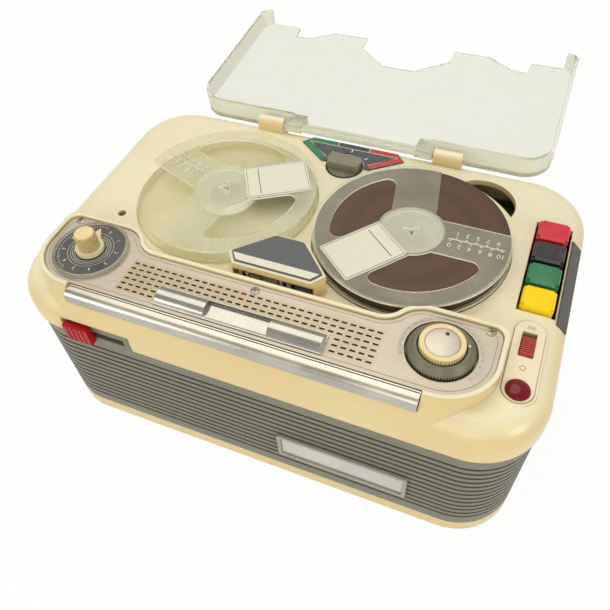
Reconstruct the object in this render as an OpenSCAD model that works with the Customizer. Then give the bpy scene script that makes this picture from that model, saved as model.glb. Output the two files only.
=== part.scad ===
// Portable reel-to-reel tape recorder, shown with its clear lid laid back.
// Millimetres, Z up, X to the right, Y to the back, origin under the middle of the base.

/* [Case] */
// Width of the case over the cream skirt
body_w = 297; // [295:0.5:300]
// Depth of the case over the cream skirt
body_d = 189; // [187:0.5:192]
// Corner radius of the case in plan
corner_r = 36; // [34:0.5:38]
// Height of the deck surface
deck_z = 110.5; // [110:0.1:111]
// Radius of the soft edge round the deck
edge_r = 14; // [13:0.5:15]
// Wall of the deck moulding
wall = 3.5; // [3:0.1:4]
// Thickness of the deck plate
deck_t = 3.5; // [3.3:0.1:3.6]
// Height of the cream skirt, from the deck surface down
skirt_h = 22; // [21.5:0.5:23.5]
// Step between the skirt and the ribbed band
band_inset = 1.5; // [1:0.1:2]
// Wall of the ribbed band
band_t = 3; // [2.5:0.1:3.5]
// Height of the top of the base tray
base_z = 9.5; // [9:0.1:10.5]
// Distance of the base screws from the middle, across
screw_x = 100; // [95:1:105]
// Base screw shank diameter
screw_d = 3; // [2.8:0.1:3.2]
// Base screw head diameter
head_d = 6; // [5.6:0.1:6.4]
// Thickness of the tray floor
tray_t = 3; // [2.5:0.1:3.5]
// Number of grooves in the band
groove_n = 13; // [11:1:14]
// Groove spacing
groove_pitch = 4.9; // [4.6:0.1:5]
// Height of one groove
groove_h = 1.8; // [1.4:0.1:2.2]
// Depth of one groove
groove_d = 1.2; // [0.8:0.1:1.5]
// Height of the lowest groove
groove_z = 17.5; // [16:0.5:19]

/* [Reels] */
// Reel diameter
reel_d = 110; // [109:0.1:110.4]
// Reel thickness over both flanges
reel_h = 8.8; // [8.7:0.05:9]
// Flange thickness
flange_t = 1.1; // [1:0.05:1.15]
// Height of the reel top above the deck
reel_rise = 9.2; // [9.2:0.05:9.4]
// Distance of each reel axis from the middle
reel_x = 57.3; // [57:0.1:57.8]
// Reel axis behind the middle of the case
reel_y = 13.8; // [13.6:0.1:14.2]
// Reel hub diameter
hub_d = 35; // [33:0.5:37]
// Outer radius of the flange windows
window_r = 45; // [44:0.5:46]
// Corner radius of the flange windows
window_f = 5; // [3:0.5:6]
// Half width of the label spoke
label_spoke = 15; // [14.8:0.1:16]
// Half width of the two narrow spokes
spoke = 12.6; // [12:0.1:13.2]
// Angle between the label spoke and a narrow spoke
spoke_a = 130; // [128:0.5:132]
// Angle of the left reel
left_a = -150; // [-180:1:180]
// Angle of the right reel
right_a = 50; // [-180:1:180]
// Outer radius of the wound tape
pack_r = 53.4; // [50:0.1:53.8]
// Width of the tape
tape_w = 6.3; // [6.2:0.1:6.4]
// Label length
label_l = 38; // [37:0.5:38.5]
// Label width
label_w = 28.6; // [28:0.2:29.4]
// Clearance between a reel and its well
well_gap = 0.5; // [0.4:0.05:0.8]
// Depth of a reel well
well_depth = 6; // [5.8:0.1:6.4]
// Wall and floor thickness of a well
cup_t = 2; // [1.8:0.1:2.4]
// Spindle shaft diameter
spindle_d = 6; // [5.8:0.1:6.2]
// Spindle pin diameter in the reel
pin_d = 4; // [3.8:0.1:4.2]
// Spindle table diameter
table_d = 20; // [18:0.5:22]

/* [Panel] */
// Height of the panel above the deck
con_rise = 9.5; // [9.3:0.1:9.8]
// Middle of the panel, left of the case middle
panel_x = -5.3; // [-5.6:0.1:-5]
// Half length of the panel
panel_hl = 123.9; // [123.4:0.1:124.4]
// Back edge of the panel in its middle
panel_y = -52; // [-52.4:0.1:-51.8]
// Back edge of the panel at its ends
panel_end_y = -38.8; // [-39.2:0.1:-38.6]
// Front edge of the panel
panel_front_y = -83.9; // [-84:0.1:-83.6]
// Start of the S-shaped edge from the panel middle
s_start = 63; // [62.5:0.5:63.5]
// End of the S-shaped edge from the panel middle
s_end = 88; // [87.5:0.5:88.5]
// Distance of the dial and the knob axis from the panel's end
control_in = 25.9; // [25.7:0.1:26.1]
// Dial and knob axis
control_y = -60; // [-60.2:0.1:-59.8]
// Radius of the rounded panel ends
end_r = 24.2; // [24:0.1:24.4]
// Wall under the rib
con_t = 3.2; // [3:0.1:3.4]
// Floor under the panel
con_floor = 2.5; // [2.3:0.1:2.6]
// Distance of the outer panel screws from the panel's end
pscrew_in = 6.3; // [6:0.1:6.8]
// Panel thickness
panel_t = 1.2; // [1:0.1:1.3]
// Width of the raised rib round the panel
rib_w = 2.6; // [2.5:0.1:2.8]
// Height of the rib above the deck
rib_h = 1.2; // [1:0.1:1.4]
// Length of a grille slot
slot_l = 2.8; // [2.4:0.1:3]
// Width of a grille slot
slot_w = 1; // [0.8:0.1:1.2]
// Slot spacing along a row
slot_px = 4.55; // [4.5:0.01:4.6]
// Spacing of the rows
slot_py = 3.62; // [3.5:0.02:3.66]
// Half length of the grille
grille_hl = 70; // [69:0.5:72]
// First grille row
grille_y = -59.7; // [-59.9:0.1:-59.5]
// Half length of the chrome trim
trim_hl = 46; // [45.4:0.1:46.6]
// Half length of the scoop in the trim
scoop_hl = 17.3; // [16:0.1:20]
// Width of the trim
trim_w = 12.4; // [12:0.1:12.6]
// Front edge of the trim
trim_y = -81.8; // [-82:0.1:-81.6]
// Height of the trim
trim_h = 4.6; // [4:0.1:5]

/* [Handle] */
// Half length of the handle bar
bar_hl = 95.4; // [95:0.1:96]
// Width of the handle bar
bar_w = 7; // [6.8:0.1:7.4]
// Height of the handle bar
bar_h = 7.2; // [7:0.1:7.3]
// Gap round the handle bar
bar_gap = 0.4; // [0.35:0.05:0.6]
// Radius of the handle bar's front edge
bar_r = 4.4; // [4:0.1:4.8]
// Height of the ledge under the bar, above the deck surface
ledge_h = 1.5; // [1.3:0.1:1.7]
// Slide width
slide_w = 10; // [9:0.5:12]
// Slide thickness
slide_t = 1.8; // [1.6:0.1:2]
// Slide length behind the bar
slide_l = 28; // [27:0.5:28.5]
// Distance of each slide from the middle of the bar
slide_x = 70; // [69:0.5:71]

/* [Controls] */
// Dial face radius
dial_r = 19.2; // [19:0.1:19.4]
// Dial bezel width
bezel_w = 1.9; // [1.7:0.1:2]
// Pointer disc radius
pointer_r = 7.8; // [7.4:0.1:8.2]
// Length of the pointer fin from the axis
fin_l = 13.8; // [13:0.1:15]
// Dial knob radius
dial_knob_r = 5.8; // [5.4:0.1:6]
// Radius of the opening for the concentric knobs
ring_hole_r = 17.3; // [17.2:0.1:17.4]
// Tone ring radius
ring_r = 16.3; // [16:0.1:16.5]
// Volume knob radius
volume_r = 11; // [10.6:0.1:11.4]
// Radius of the cap on the volume knob
cap_r = 8.4; // [8:0.1:8.8]
// Height of the tone ring above the panel
ring_rise = 4.4; // [4:0.1:4.8]
// Upper radius of the tone ring
ring_top = 13.2; // [13:0.1:13.6]
// Height of the volume knob
volume_h = 5.8; // [5.4:0.1:6.4]
// Height of the dial knob
dial_knob_h = 9.2; // [8.6:0.1:9.8]
// Tube of the tone ring, outside diameter
tube_d = 8; // [7.8:0.1:8.2]
// Shaft diameter of the turning controls
shaft_d = 4; // [3.8:0.1:4.2]
// Radial running clearance of shafts in bores
run_gap = 0.05; // [0.03:0.01:0.08]
// Speed knob radius
speed_r = 10.8; // [10.6:0.1:11]
// Clearance round the speed knob
speed_gap = 1.2; // [1:0.1:1.4]
// Speed knob axis behind the middle
speed_y = 64.5; // [64.2:0.1:64.8]

/* [Keys] */
// Key width
key_w = 16.8; // [16.4:0.1:17]
// Key length
key_l = 14.8; // [14.4:0.1:15]
// Key spacing
key_pitch = 17; // [16.9:0.1:17.1]
// Distance of the keys' left sides from the right side of the case
key_in = 26.6; // [26.5:0.1:26.7]
// Middle of the rear key
key_y = 44.3; // [44.1:0.1:44.5]
// Height of the keys above the deck
key_rise = 3.6; // [3.2:0.1:4]
// Corner radius of a key
key_r = 2; // [1.8:0.1:2.2]
// Pivot rod diameter
rod_d = 3; // [2.8:0.1:3.2]
// Distance of the pivot rod from the keys' left sides
rod_in = 9.4; // [9.2:0.1:9.6]
// Depth of the pivot rod under the deck surface
rod_h = 13; // [12.8:0.1:13.2]

/* [Side plate] */
// Switch plate width
pill_w = 15; // [14.6:0.1:15.4]
// Switch plate length
pill_l = 49; // [48:0.5:49.5]
// Distance of the switch plate's middle from the right side of the case
pill_in = 18.3; // [18.1:0.1:18.5]
// Switch plate middle along
pill_y = -45.2; // [-45.4:0.1:-45]
// Slide switch width
tog_w = 6.2; // [6:0.1:6.6]
// Slide switch length
tog_l = 11; // [10.6:0.1:11.4]
// Slide switch travel
tog_run = 3.2; // [3:0.1:3.4]
// Lamp jewel radius
jewel_r = 5.7; // [5.4:0.1:5.9]
// Depth of the jewel's shank under the deck's top
shank_l = 16; // [14:0.5:18]
// Length of the label strip beside the keys
strip_l = 61.5; // [60:0.5:62.5]
// Width of the label strip beside the keys
strip_w = 8; // [7.6:0.1:8.2]

/* [Front] */
// Length of the notch for the power slider
notch_l = 44; // [42:0.5:45]
// Power slider length
power_l = 16; // [15:0.5:17]
// Power slider height
power_h = 12; // [11.5:0.1:12.4]
// Power slider travel
power_run = 22; // [20:0.5:23]
// Badge frame length
badge_l = 75.5; // [74:0.5:77]
// Badge frame height
badge_h = 22; // [20:0.5:23]
// Badge frame thickness
badge_t = 1.8; // [1.4:0.1:2.2]
// Badge rim
badge_rim = 2.2; // [1.8:0.1:2.6]

/* [Head cover] */
// Height of the head cover above the deck
cover_h = 12.6; // [12.4:0.1:13]
// Height of the head opening
cover_open = 8.5; // [8.4:0.1:8.8]
// Cover wall
cover_t = 2; // [1.8:0.1:2.2]
// Thickness of the printed plates
print_t = 0.8; // [0.6:0.1:1]

/* [Lid] */
// Half width of the lid
lid_hw = 120.4; // [120:0.1:120.6]
// Distance from the hinge to the front edge of the lid
lid_l = 123; // [122.4:0.1:123.4]
// Distance from the hinge to the rear wall of the lid
lid_back = 7; // [6.6:0.1:7.6]
// Depth of the lid walls
lid_h = 14; // [13.8:0.1:14.4]
// Lid thickness
lid_t = 2; // [1.8:0.1:2.1]
// Opening angle of the lid as shown
lid_open = 176; // [174:0.5:177]
// Distance of the hinge axis from the back of the case
hinge_in = 6; // [5.8:0.1:6.2]
// Hinge axis above the deck
hinge_rise = 4; // [3.9:0.1:4.2]
// Hinge pin diameter
hinge_d = 3; // [2.8:0.1:3.2]
// Radius of the hinge barrels and lugs
barrel_r = 4; // [3.8:0.1:4.2]

/* [Inside] */
// Depth of the chassis plate under the deck surface
chassis_h = 19.5; // [19.2:0.1:20]
// Chassis sheet thickness
chassis_t = 1.5; // [1.2:0.1:1.6]
// Capstan diameter
capstan_d = 4; // [3.8:0.1:4.2]
// Flywheel radius
fly_r = 30; // [28:0.5:31]
// Pinch roller radius
pinch_r = 5; // [4.8:0.1:5.1]
// Pinch roller pin diameter
pinch_pin = 2.4; // [2.2:0.1:2.6]
// Motor radius
motor_r = 24; // [22:0.5:26]
// Motor pulley radius
pulley_r = 6; // [5.5:0.1:7]
// Belt thickness
belt_t = 1.2; // [1:0.1:1.5]

/* [Hidden] */
$fn = 64;
skirt_z = deck_z - skirt_h;
ledge_z = deck_z + ledge_h;
rod_z = deck_z - rod_h;
chassis_z = deck_z - chassis_h;
reel_top = deck_z + reel_rise;
reel_low = reel_top - reel_h;
reel_r = reel_d / 2;
well_r = reel_r + well_gap;
well_z = deck_z - well_depth;
chassis_top = chassis_z + chassis_t;
deck_low = deck_z - deck_t;
con_z = deck_z + con_rise;
control_x = panel_hl - control_in;
pscrew_x = panel_hl - pscrew_in;
key_x = body_w / 2 - key_in;
rod_x = key_x - rod_in;
pill_x = body_w / 2 - pill_in;
hinge_y = body_d / 2 - hinge_in;
corner_in = 6;
notch_l0 = hinge_y + 3.5;
notch_l1 = hinge_y + 21.5;
trim_c = (pow(trim_w / 2 - 0.6, 2) + trim_h * trim_h) / (2 * trim_h);
seat_z = con_z - panel_t;
con_low = seat_z - con_floor;
rib_z = con_z + rib_h;
arm_z = deck_z + 1.9;
skirt_r = body_d / 2 + control_y;
skirt_c = skirt_z + 3.5;
dial_x = panel_x - control_x;
knob_x = panel_x + control_x;
bar_y = panel_front_y - bar_gap - bar_w / 2;
slide_z = ledge_z + 1.2;
hinge_z = deck_z + hinge_rise;
band_w = body_w - 2 * band_inset;
band_d = body_d - 2 * band_inset;
band_r = corner_r - band_inset;
front_y = -band_d / 2;
boss_r = 5.5;
screw_y = band_d / 2 - band_t - boss_r + 0.6;
capstan_x = 8;
capstan_y = -42.5;
pinch_x = capstan_x + capstan_d / 2 + pinch_r + 1;
pinch_y = capstan_y;
arm_x = 9.5;
arm_y = -34.5;
motor_x = 8;
motor_y = 40;
belt_z = 41;
speaker_z = chassis_z - 29;
board_x = 60;
key_top = deck_z + key_rise;
table_z = well_z + 0.4;
slot_x0 = key_x - 1.1;
slot_x1 = key_x + key_w + 1.8;
notch_x = -108.5;
notch_z = skirt_z + 11;
cover_pts = [[-29.6, -36.9], [-10, -17.4], [7.8, -17.4], [26.6, -37.2], [21, -44.6], [-24, -44.6]];
cover_in = [[-26.6, -36.7], [-9.2, -19.6], [7, -19.6], [23.7, -37], [20, -42.4], [-23, -42.4]];
cover_plate = [[-27.6, -36.9], [-9.4, -18.9], [7.2, -18.9], [24.6, -37], [20.2, -43], [-23.2, -43]];
speed_pts = [[-34.4, 79.2], [-28.4, 85.8], [28.4, 85.8], [34.4, 79.2], [16, 65], [-16, 65]];
post_x = body_w / 2 - 33.5;
post_y = body_d / 2 - 24.5;
post_pts = [[post_x, post_y], [-post_x, post_y], [body_w / 2 - 24.5, -26], [30.5 - body_w / 2, -24]];
pscrew_pts = [[panel_x - pscrew_x, -41.4], [panel_x, -56], [panel_x + pscrew_x, -41.4]];
s_a = 2 * atan((panel_end_y - panel_y) / (s_end - s_start));
s_r = (s_end - s_start) / (2 * sin(s_a));
skirt_rho = (pow(skirt_r - end_r - rib_w, 2) + pow(rib_z - skirt_c, 2)) / (2 * (skirt_r - end_r - rib_w));

// Rounded rectangle
module rrect(w, d, r) {
    square([w - 2 * r, d], center = true);
    square([w, d - 2 * r], center = true);
    for (sx = [-1, 1], sy = [-1, 1])
        translate([sx * (w / 2 - r), sy * (d / 2 - r)]) circle(r);
}

// Half section of a slab with a soft top edge
module soft_half(r, e, h) {
    square([r, h - e]);
    square([r - e, h]);
    translate([r - e, h - e]) intersection() {
        circle(e);
        square(e);
    }
}

// Full section of a slab with soft top edges
module soft_full(d, e, h) {
    translate([-d / 2, 0]) square([d, h - e]);
    translate([-d / 2 + e, 0]) square([d - 2 * e, h]);
    for (m = [0, 1]) mirror([m, 0]) translate([d / 2 - e, h - e]) intersection() {
        circle(e);
        square(e);
    }
}

// Rounded slab with a soft top edge
module soft_slab(w, d, r, e, h) {
    rotate([90, 0, 90]) linear_extrude(w - 2 * r, center = true) soft_full(d, e, h);
    for (m = [0, 1]) mirror([m, 0, 0]) translate([w / 2 - r, 0, 0])
        rotate([90, 0, 0]) linear_extrude(d - 2 * r, center = true) soft_half(r, e, h);
    for (q = [0 : 3]) {
        qx = (q == 0 || q == 3) ? 1 : -1;
        qy = (q < 2) ? 1 : -1;
        translate([qx * (w / 2 - r), qy * (d / 2 - r), 0]) rotate([0, 0, 90 * q])
            rotate_extrude(angle = 90) soft_half(r, e, h);
    }
}

// Right half of the panel outline grown by g: back edge, S curve, back corner and rounded end
function panel_right(g) = concat(
    [for (k = [0 : 12])
        [s_start + (s_r - g) * sin(s_a * k / 12), panel_y + s_r - (s_r - g) * cos(s_a * k / 12)]],
    [for (k = [11 : -1 : 0])
        [s_end - (s_r + g) * sin(s_a * k / 12), panel_end_y - s_r + (s_r + g) * cos(s_a * k / 12)]],
    [for (k = [0 : 8])
        [panel_hl + g - 6 + 6 * sin(90 * k / 8), panel_end_y + g - 6 + 6 * cos(90 * k / 8)]],
    [for (k = [0 : 24]) [
        control_x + (panel_hl - control_x + g) * cos(90 * k / 24),
        control_y - (control_y - panel_front_y + g) * sin(90 * k / 24)
    ]]
);

// Outline of the panel, grown by g
module panel_shape(g) {
    half = panel_right(g);
    n = len(half);
    translate([panel_x, 0]) polygon(concat(half, [for (k = [n - 1 : -1 : 0]) [-half[k][0], half[k][1]]]));
}

// Ring with n teeth, radius r, tooth depth t
module fluted(n, r, t) {
    polygon([
        for (i = [0 : n - 1], k = [0 : 3])
            let (a = (i + [0, 0.3, 0.5, 0.8][k]) * 360 / n, q = k < 2 ? r : r - t)
                [q * cos(a), q * sin(a)]
    ]);
}

// Side view of the console's skirt, its radius counted from the control axis, from height z0 to z1
module skirt_side(z0, z1) intersection() {
    translate([skirt_r - skirt_rho, skirt_c]) circle(skirt_rho, $fn = 200);
    translate([end_r - 4, z0]) square([30, z1 - z0]);
}

// Soft wall along the front of the console
module console_front() translate([panel_x, control_y, 0]) rotate([90, 0, 90])
    linear_extrude(2 * (control_x - corner_in), center = true) mirror([1, 0])
        skirt_side(skirt_z, ledge_z + 1);

// The same wall round a front corner of the console, from the rib down to the skirt
module console_corner() translate([control_x - corner_in, control_y, 0]) rotate([0, 0, -100])
    rotate_extrude(angle = 130) skirt_side(skirt_c, rib_z);

// Crescent behind the right reel, where a finger reaches its edge
module hollow_shape() difference() {
    translate([30, 44.6]) circle(20);
    circle(well_r + 6);
}

module deck() color("#E9DDB8") difference() {
    union() {
        difference() {
            translate([0, 0, skirt_z]) soft_slab(body_w, body_d, corner_r, edge_r, deck_z - skirt_z);
            translate([0, 0, skirt_z - 1]) soft_slab(body_w - 2 * wall, body_d - 2 * wall, corner_r - wall,
                edge_r - wall, deck_low - skirt_z + 1);
        }
        for (sx = [-1, 1]) translate([sx * reel_x, reel_y, well_z - cup_t])
            cylinder(r = well_r + cup_t, h = well_depth + cup_t - 1);
        translate([0, speed_y, deck_z - 8]) cylinder(r = speed_r + speed_gap + 2, h = 6.6);
        translate([0, 0, deck_low]) linear_extrude(rib_z - deck_low) panel_shape(rib_w);
        translate([panel_x, 0, 0]) for (m = [0, 1]) mirror([m, 0, 0]) console_corner();
        console_front();
        translate([0, 0, deck_z - 8]) linear_extrude(8) intersection() {
            polygon(speed_pts);
            translate([-50, 72]) square([100, 20]);
        }
        for (p = post_pts) translate([p[0], p[1], chassis_top]) cylinder(r = 4, h = deck_z - chassis_top - 2);
        for (y = [key_y + 11.5, key_y - 3 * key_pitch - 11.5])
            translate([rod_x - 4, y - 2.5, rod_z - 3.5]) cube([8, 5, deck_low - rod_z + 4.5]);
        for (sx = [-1, 1]) translate([sx * 60, hinge_y, 0]) rotate([0, 90, 0]) {
            translate([-hinge_z, 0, -9]) cylinder(r = barrel_r, h = 18);
            translate([-hinge_z, -barrel_r, -9]) cube([hinge_rise + 11.5, 2 * barrel_r, 18]);
        }
        translate([pill_x, pill_y, deck_z - 6]) linear_extrude(6)
            rrect(pill_w + 3, pill_l + 3, pill_w / 2 + 1.4);
    }
    // hollow under the console
    translate([0, 0, skirt_z - 2]) linear_extrude(con_low - skirt_z + 2) panel_shape(-con_t);
    translate([panel_x - control_x + corner_in + 4, wall + 3 - body_d / 2, skirt_z - 2])
        cube([2 * (control_x - corner_in) - 8, 17, ledge_z - con_t - skirt_z + 2]);
    // wells and the finger opening behind the right one
    translate([reel_x, reel_y, deck_z - 8]) linear_extrude(12) hollow_shape();
    for (sx = [-1, 1]) translate([sx * reel_x, reel_y, 0]) {
        translate([0, 0, well_z]) cylinder(r = well_r, h = 30);
        translate([0, 0, well_z - 5]) cylinder(r = 8, h = 10);
    }
    translate([0, speed_y, deck_z - 6]) cylinder(r = speed_r + speed_gap, h = 10);
    translate([0, speed_y, deck_z - 12]) cylinder(d = shaft_d + 2 + 2 * run_gap, h = 10);
    // seat of the panel and the openings under it
    translate([0, 0, seat_z]) linear_extrude(10) panel_shape(0.2);
    translate([panel_x - grille_hl - 1, panel_front_y + 5, con_z - 8]) cube([2 * grille_hl + 2, 22, 10]);
    translate([dial_x, control_y, con_z - 12]) cylinder(d = shaft_d + 1 + 2 * run_gap, h = 20);
    translate([knob_x, control_y, con_z - 12]) cylinder(r = ring_hole_r, h = 20);
    for (p = pscrew_pts) translate([p[0], p[1], con_z - 8]) cylinder(d = 2, h = 20);
    // pocket of the handle bar and the slots of its slides
    translate([panel_x - bar_hl - bar_gap, -110, ledge_z])
        cube([2 * (bar_hl + bar_gap), 110 + panel_front_y - 0.1, 20]);
    for (sx = [-1, 1])
        translate([panel_x + sx * slide_x - slide_w / 2 - 0.3, panel_front_y - 2, slide_z - 0.3])
            cube([slide_w + 0.6, 12, slide_t + 0.6]);
    // heads, pinch arm and the small hole beside the dial
    translate([-22, -45.4, deck_z - 12]) cube([33.5, 7.9, 20]);
    translate([arm_x, arm_y, deck_z - 12]) cylinder(d = shaft_d + 2 * run_gap, h = 20);
    translate([-112, -20, deck_z - 12]) cylinder(r = 2.4, h = 20);
    // keys, their rod and the label strip
    translate([slot_x0, key_y - 3 * key_pitch - key_l / 2 - 0.8, deck_z - 12])
        cube([slot_x1 - slot_x0, 3 * key_pitch + key_l + 1.6, 20]);
    translate([rod_x, key_y - 3 * key_pitch - 20, rod_z]) rotate([-90, 0, 0]) cylinder(d = rod_d, h = 110);
    strip_seat() translate([-strip_w / 2 - 0.3, -0.3, -print_t]) cube([strip_w + 0.6, strip_l + 0.6, 12]);
    // switch plate
    translate([pill_x, pill_y, deck_z - 2]) linear_extrude(8) rrect(pill_w + 0.4, pill_l + 0.4, pill_w / 2);
    translate([pill_x - tog_w / 2 - 0.4, pill_y + 1.6, deck_z - 12])
        cube([tog_w + 0.8, tog_l + tog_run + 1, 20]);
    translate([pill_x, pill_y - 18, deck_z - shank_l - 1]) cylinder(r = jewel_r - 1, h = shank_l + 9);
    // notch of the power slider
    translate([notch_x, -body_d / 2 - 5, skirt_z - 5]) cube([notch_l, 16, notch_z - skirt_z + 5]);
    for (sx = [-1, 1]) translate([sx * 60 - 30, hinge_y, hinge_z]) rotate([0, 90, 0])
        cylinder(d = hinge_d, h = 60);
}

// Place of the label strip on the soft edge beside the keys
module strip_seat() translate([body_w / 2 - edge_r * (1 - sqrt(0.5)) + 0.2,
    key_y - 1.5 * key_pitch - strip_l / 2 - 5.2, deck_z - edge_r * (1 - sqrt(0.5)) + 0.2])
    rotate([0, 45, 0]) children();

module ribbed_band() color("#8E8E80") difference() {
    union() {
        difference() {
            translate([0, 0, base_z]) linear_extrude(skirt_z - base_z) rrect(band_w, band_d, band_r);
            translate([0, 0, base_z - 1]) linear_extrude(skirt_z - base_z + 2)
                rrect(band_w - 2 * band_t, band_d - 2 * band_t, band_r - band_t);
            for (i = [0 : groove_n - 1]) translate([0, 0, groove_z + i * groove_pitch])
                linear_extrude(groove_h) difference() {
                    rrect(band_w + 10, band_d + 10, band_r + 5);
                    rrect(band_w - 2 * groove_d, band_d - 2 * groove_d, band_r - groove_d);
                }
        }
        for (sx = [-1, 1], sy = [-1, 1]) translate([sx * screw_x, sy * screw_y, base_z])
            cylinder(r = boss_r, h = 20);
        translate([notch_x + 0.2, front_y, skirt_z - 1])
            cube([notch_l - 0.4, band_t, notch_z - skirt_z + 0.8]);
    }
    for (sx = [-1, 1], sy = [-1, 1]) translate([sx * screw_x, sy * screw_y, base_z - 1])
        cylinder(d = screw_d, h = 18);
    translate([-95, band_d / 2 - 10, 30]) cube([30, 20, 18]);
    for (x = [-40, -18]) translate([x, band_d / 2 - 10, 39]) rotate([-90, 0, 0]) cylinder(r = 8, h = 20);
    translate([notch_x + 5, front_y - 5, skirt_z - 0.4]) cube([power_l - 6 + power_run + 0.8, 12, 4.8]);
}

module base_tray() color("#E3D3A2") difference() {
    union() {
        difference() {
            linear_extrude(base_z) rrect(band_w, band_d, band_r);
            translate([0, 0, tray_t]) linear_extrude(20)
                rrect(band_w - 2 * band_t, band_d - 2 * band_t, band_r - band_t);
        }
        for (sx = [-1, 1], sy = [-1, 1]) translate([sx * screw_x, sy * screw_y, 0])
            cylinder(r = boss_r, h = base_z);
    }
    for (sx = [-1, 1], sy = [-1, 1]) translate([sx * screw_x, sy * screw_y, -1]) {
        cylinder(d = screw_d, h = 20);
        cylinder(d = head_d + 0.8, h = 5);
    }
}

module base_screws() color("#9A9A98") for (sx = [-1, 1], sy = [-1, 1])
    translate([sx * screw_x, sy * screw_y, 4]) {
        translate([0, 0, -2.4]) cylinder(d = head_d, h = 2.4);
        cylinder(d = screw_d, h = 18);
    }

module front_panel() color("#C9C5BA") difference() {
    translate([0, 0, seat_z]) linear_extrude(panel_t) difference() {
        panel_shape(0);
        translate([dial_x, control_y]) circle(d = shaft_d + 2);
        translate([knob_x, control_y]) circle(ring_hole_r);
        for (p = pscrew_pts) translate(p) circle(d = 2);
        for (r = [0 : 5], c = [-15 : 15]) {
            gx = panel_x + c * slot_px;
            gy = grille_y - r * slot_py;
            if (r < 3 || abs(gx - panel_x) > trim_hl + 2)
                translate([gx, gy]) square([slot_l, slot_w], center = true);
        }
    }
}

module panel_screws() color("#A9A8A2") for (p = pscrew_pts) translate([p[0], p[1], con_z]) {
    intersection() {
        cylinder(r = 2.5, h = 1);
        translate([0, 0, -5]) sphere(r = 5.8);
    }
    translate([0, 0, -6]) cylinder(d = 2, h = 6);
}

module grip_trim() color("#D8D8D6") translate([panel_x, trim_y, con_z]) difference() {
    union() {
        translate([-trim_hl, 0, 0]) cube([2 * trim_hl, trim_w, 0.7]);
        translate([0.8 - trim_hl, 0, 0]) rotate([90, 0, 90]) linear_extrude(2 * trim_hl - 1.6)
            intersection() {
                translate([trim_w / 2, trim_h - trim_c]) circle(trim_c, $fn = 96);
                translate([0.6, 0]) square([trim_w - 1.2, 20]);
            }
    }
    translate([-scoop_hl, -1, 1.3]) cube([2 * scoop_hl, trim_w - 1.6, 10]);
}

module carry_handle() color("#BDBBB2") {
    translate([panel_x, bar_y, ledge_z + 0.4]) rotate([90, 0, 90]) linear_extrude(2 * bar_hl, center = true) {
        translate([-bar_w / 2, 0]) square([bar_w, bar_h - bar_r]);
        translate([-bar_w / 2 + bar_r, 0]) square([bar_w - bar_r, bar_h]);
        intersection() {
            translate([-bar_w / 2 + bar_r, bar_h - bar_r]) circle(bar_r);
            translate([-bar_w / 2, 0]) square([bar_w, bar_h]);
        }
    }
    for (sx = [-1, 1]) translate([panel_x + sx * slide_x - slide_w / 2, bar_y, slide_z])
        cube([slide_w, bar_w / 2 + slide_l, slide_t]);
}

module head_cover() color("#E6D29A") translate([0, 0, deck_z]) difference() {
    linear_extrude(cover_h) polygon(cover_pts);
    translate([0, 0, -1]) linear_extrude(cover_open + 1) polygon(cover_in);
    translate([-25.4, -50, -1]) cube([47, 10, cover_open + 1]);
}

module head_plate() color("#4A4C50") translate([0, 0, deck_z + cover_h]) linear_extrude(print_t)
    polygon(cover_plate);

module speed_plate() color("#54565A") translate([0, 0, deck_z]) linear_extrude(print_t) intersection() {
    difference() {
        polygon(speed_pts);
        translate([0, speed_y]) circle(speed_r + speed_gap + 0.4);
    }
    translate([-50, 60]) square([100, 25.5]);
}

module key_strip() color("#4C4C4A") strip_seat()
    translate([-strip_w / 2, 0, -print_t]) cube([strip_w, strip_l, print_t]);

module badge_frame() color("#9C9C90") translate([54.5, front_y, 36]) rotate([90, 0, 0])
    linear_extrude(badge_t) difference() {
        rrect(badge_l, badge_h, 1.2);
        rrect(badge_l - 2 * badge_rim, badge_h - 2 * badge_rim, 0.6);
    }

module badge_plate() color("#CFCDC6") translate([54.5, front_y, 36]) rotate([90, 0, 0])
    linear_extrude(badge_t - 0.8)
        rrect(badge_l - 2 * badge_rim - 0.2, badge_h - 2 * badge_rim - 0.2, 0.6);

module switch_plate() color("#EADFBE") translate([pill_x, pill_y, deck_z - 2]) difference() {
    linear_extrude(2.8) rrect(pill_w, pill_l, pill_w / 2 - 0.1);
    translate([-tog_w / 2 - 0.4, 1.6, -1]) cube([tog_w + 0.8, tog_l + tog_run + 1, 10]);
    translate([0, -18, -1]) cylinder(r = jewel_r + 0.1, h = 10);
}

module jewel_lamp() color("#7A1020") translate([pill_x, pill_y - 18, deck_z - 2]) {
    intersection() {
        cylinder(r = jewel_r, h = 6);
        translate([0, 0, -4]) sphere(r = 9.4);
    }
    translate([0, 0, 2 - shank_l]) cylinder(r = jewel_r - 1.3, h = shank_l - 1.5);
}

module dial_face() color("#26282A") translate([dial_x, control_y, con_z]) difference() {
    cylinder(r = dial_r, h = 1);
    translate([0, 0, -1]) cylinder(d = shaft_d + 2, h = 5);
}

module dial_bezel() color("#C4C0B4") translate([dial_x, control_y, con_z]) difference() {
    cylinder(r = dial_r + bezel_w, h = 1.8);
    translate([0, 0, -1]) cylinder(r = dial_r + 0.05, h = 5);
}

module dial_pointer() color("#EADFB4") translate([dial_x, control_y, con_z + 1.4]) {
    cylinder(r = pointer_r, h = 2.2);
    rotate([0, 0, 98]) linear_extrude(2.2) polygon([[5, -4.2], [fin_l, -0.3], [fin_l, 0.3], [5, 4.2]]);
    translate([0, 0, -13]) cylinder(d = shaft_d + 1, h = 14);
}

module dial_knob() color("#EDE2B8") translate([dial_x, control_y, con_z + 3.6]) {
    linear_extrude(dial_knob_h) fluted(28, dial_knob_r, 0.6);
    translate([0, 0, dial_knob_h]) cylinder(r = dial_knob_r - 0.7, h = 0.8);
}

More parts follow.
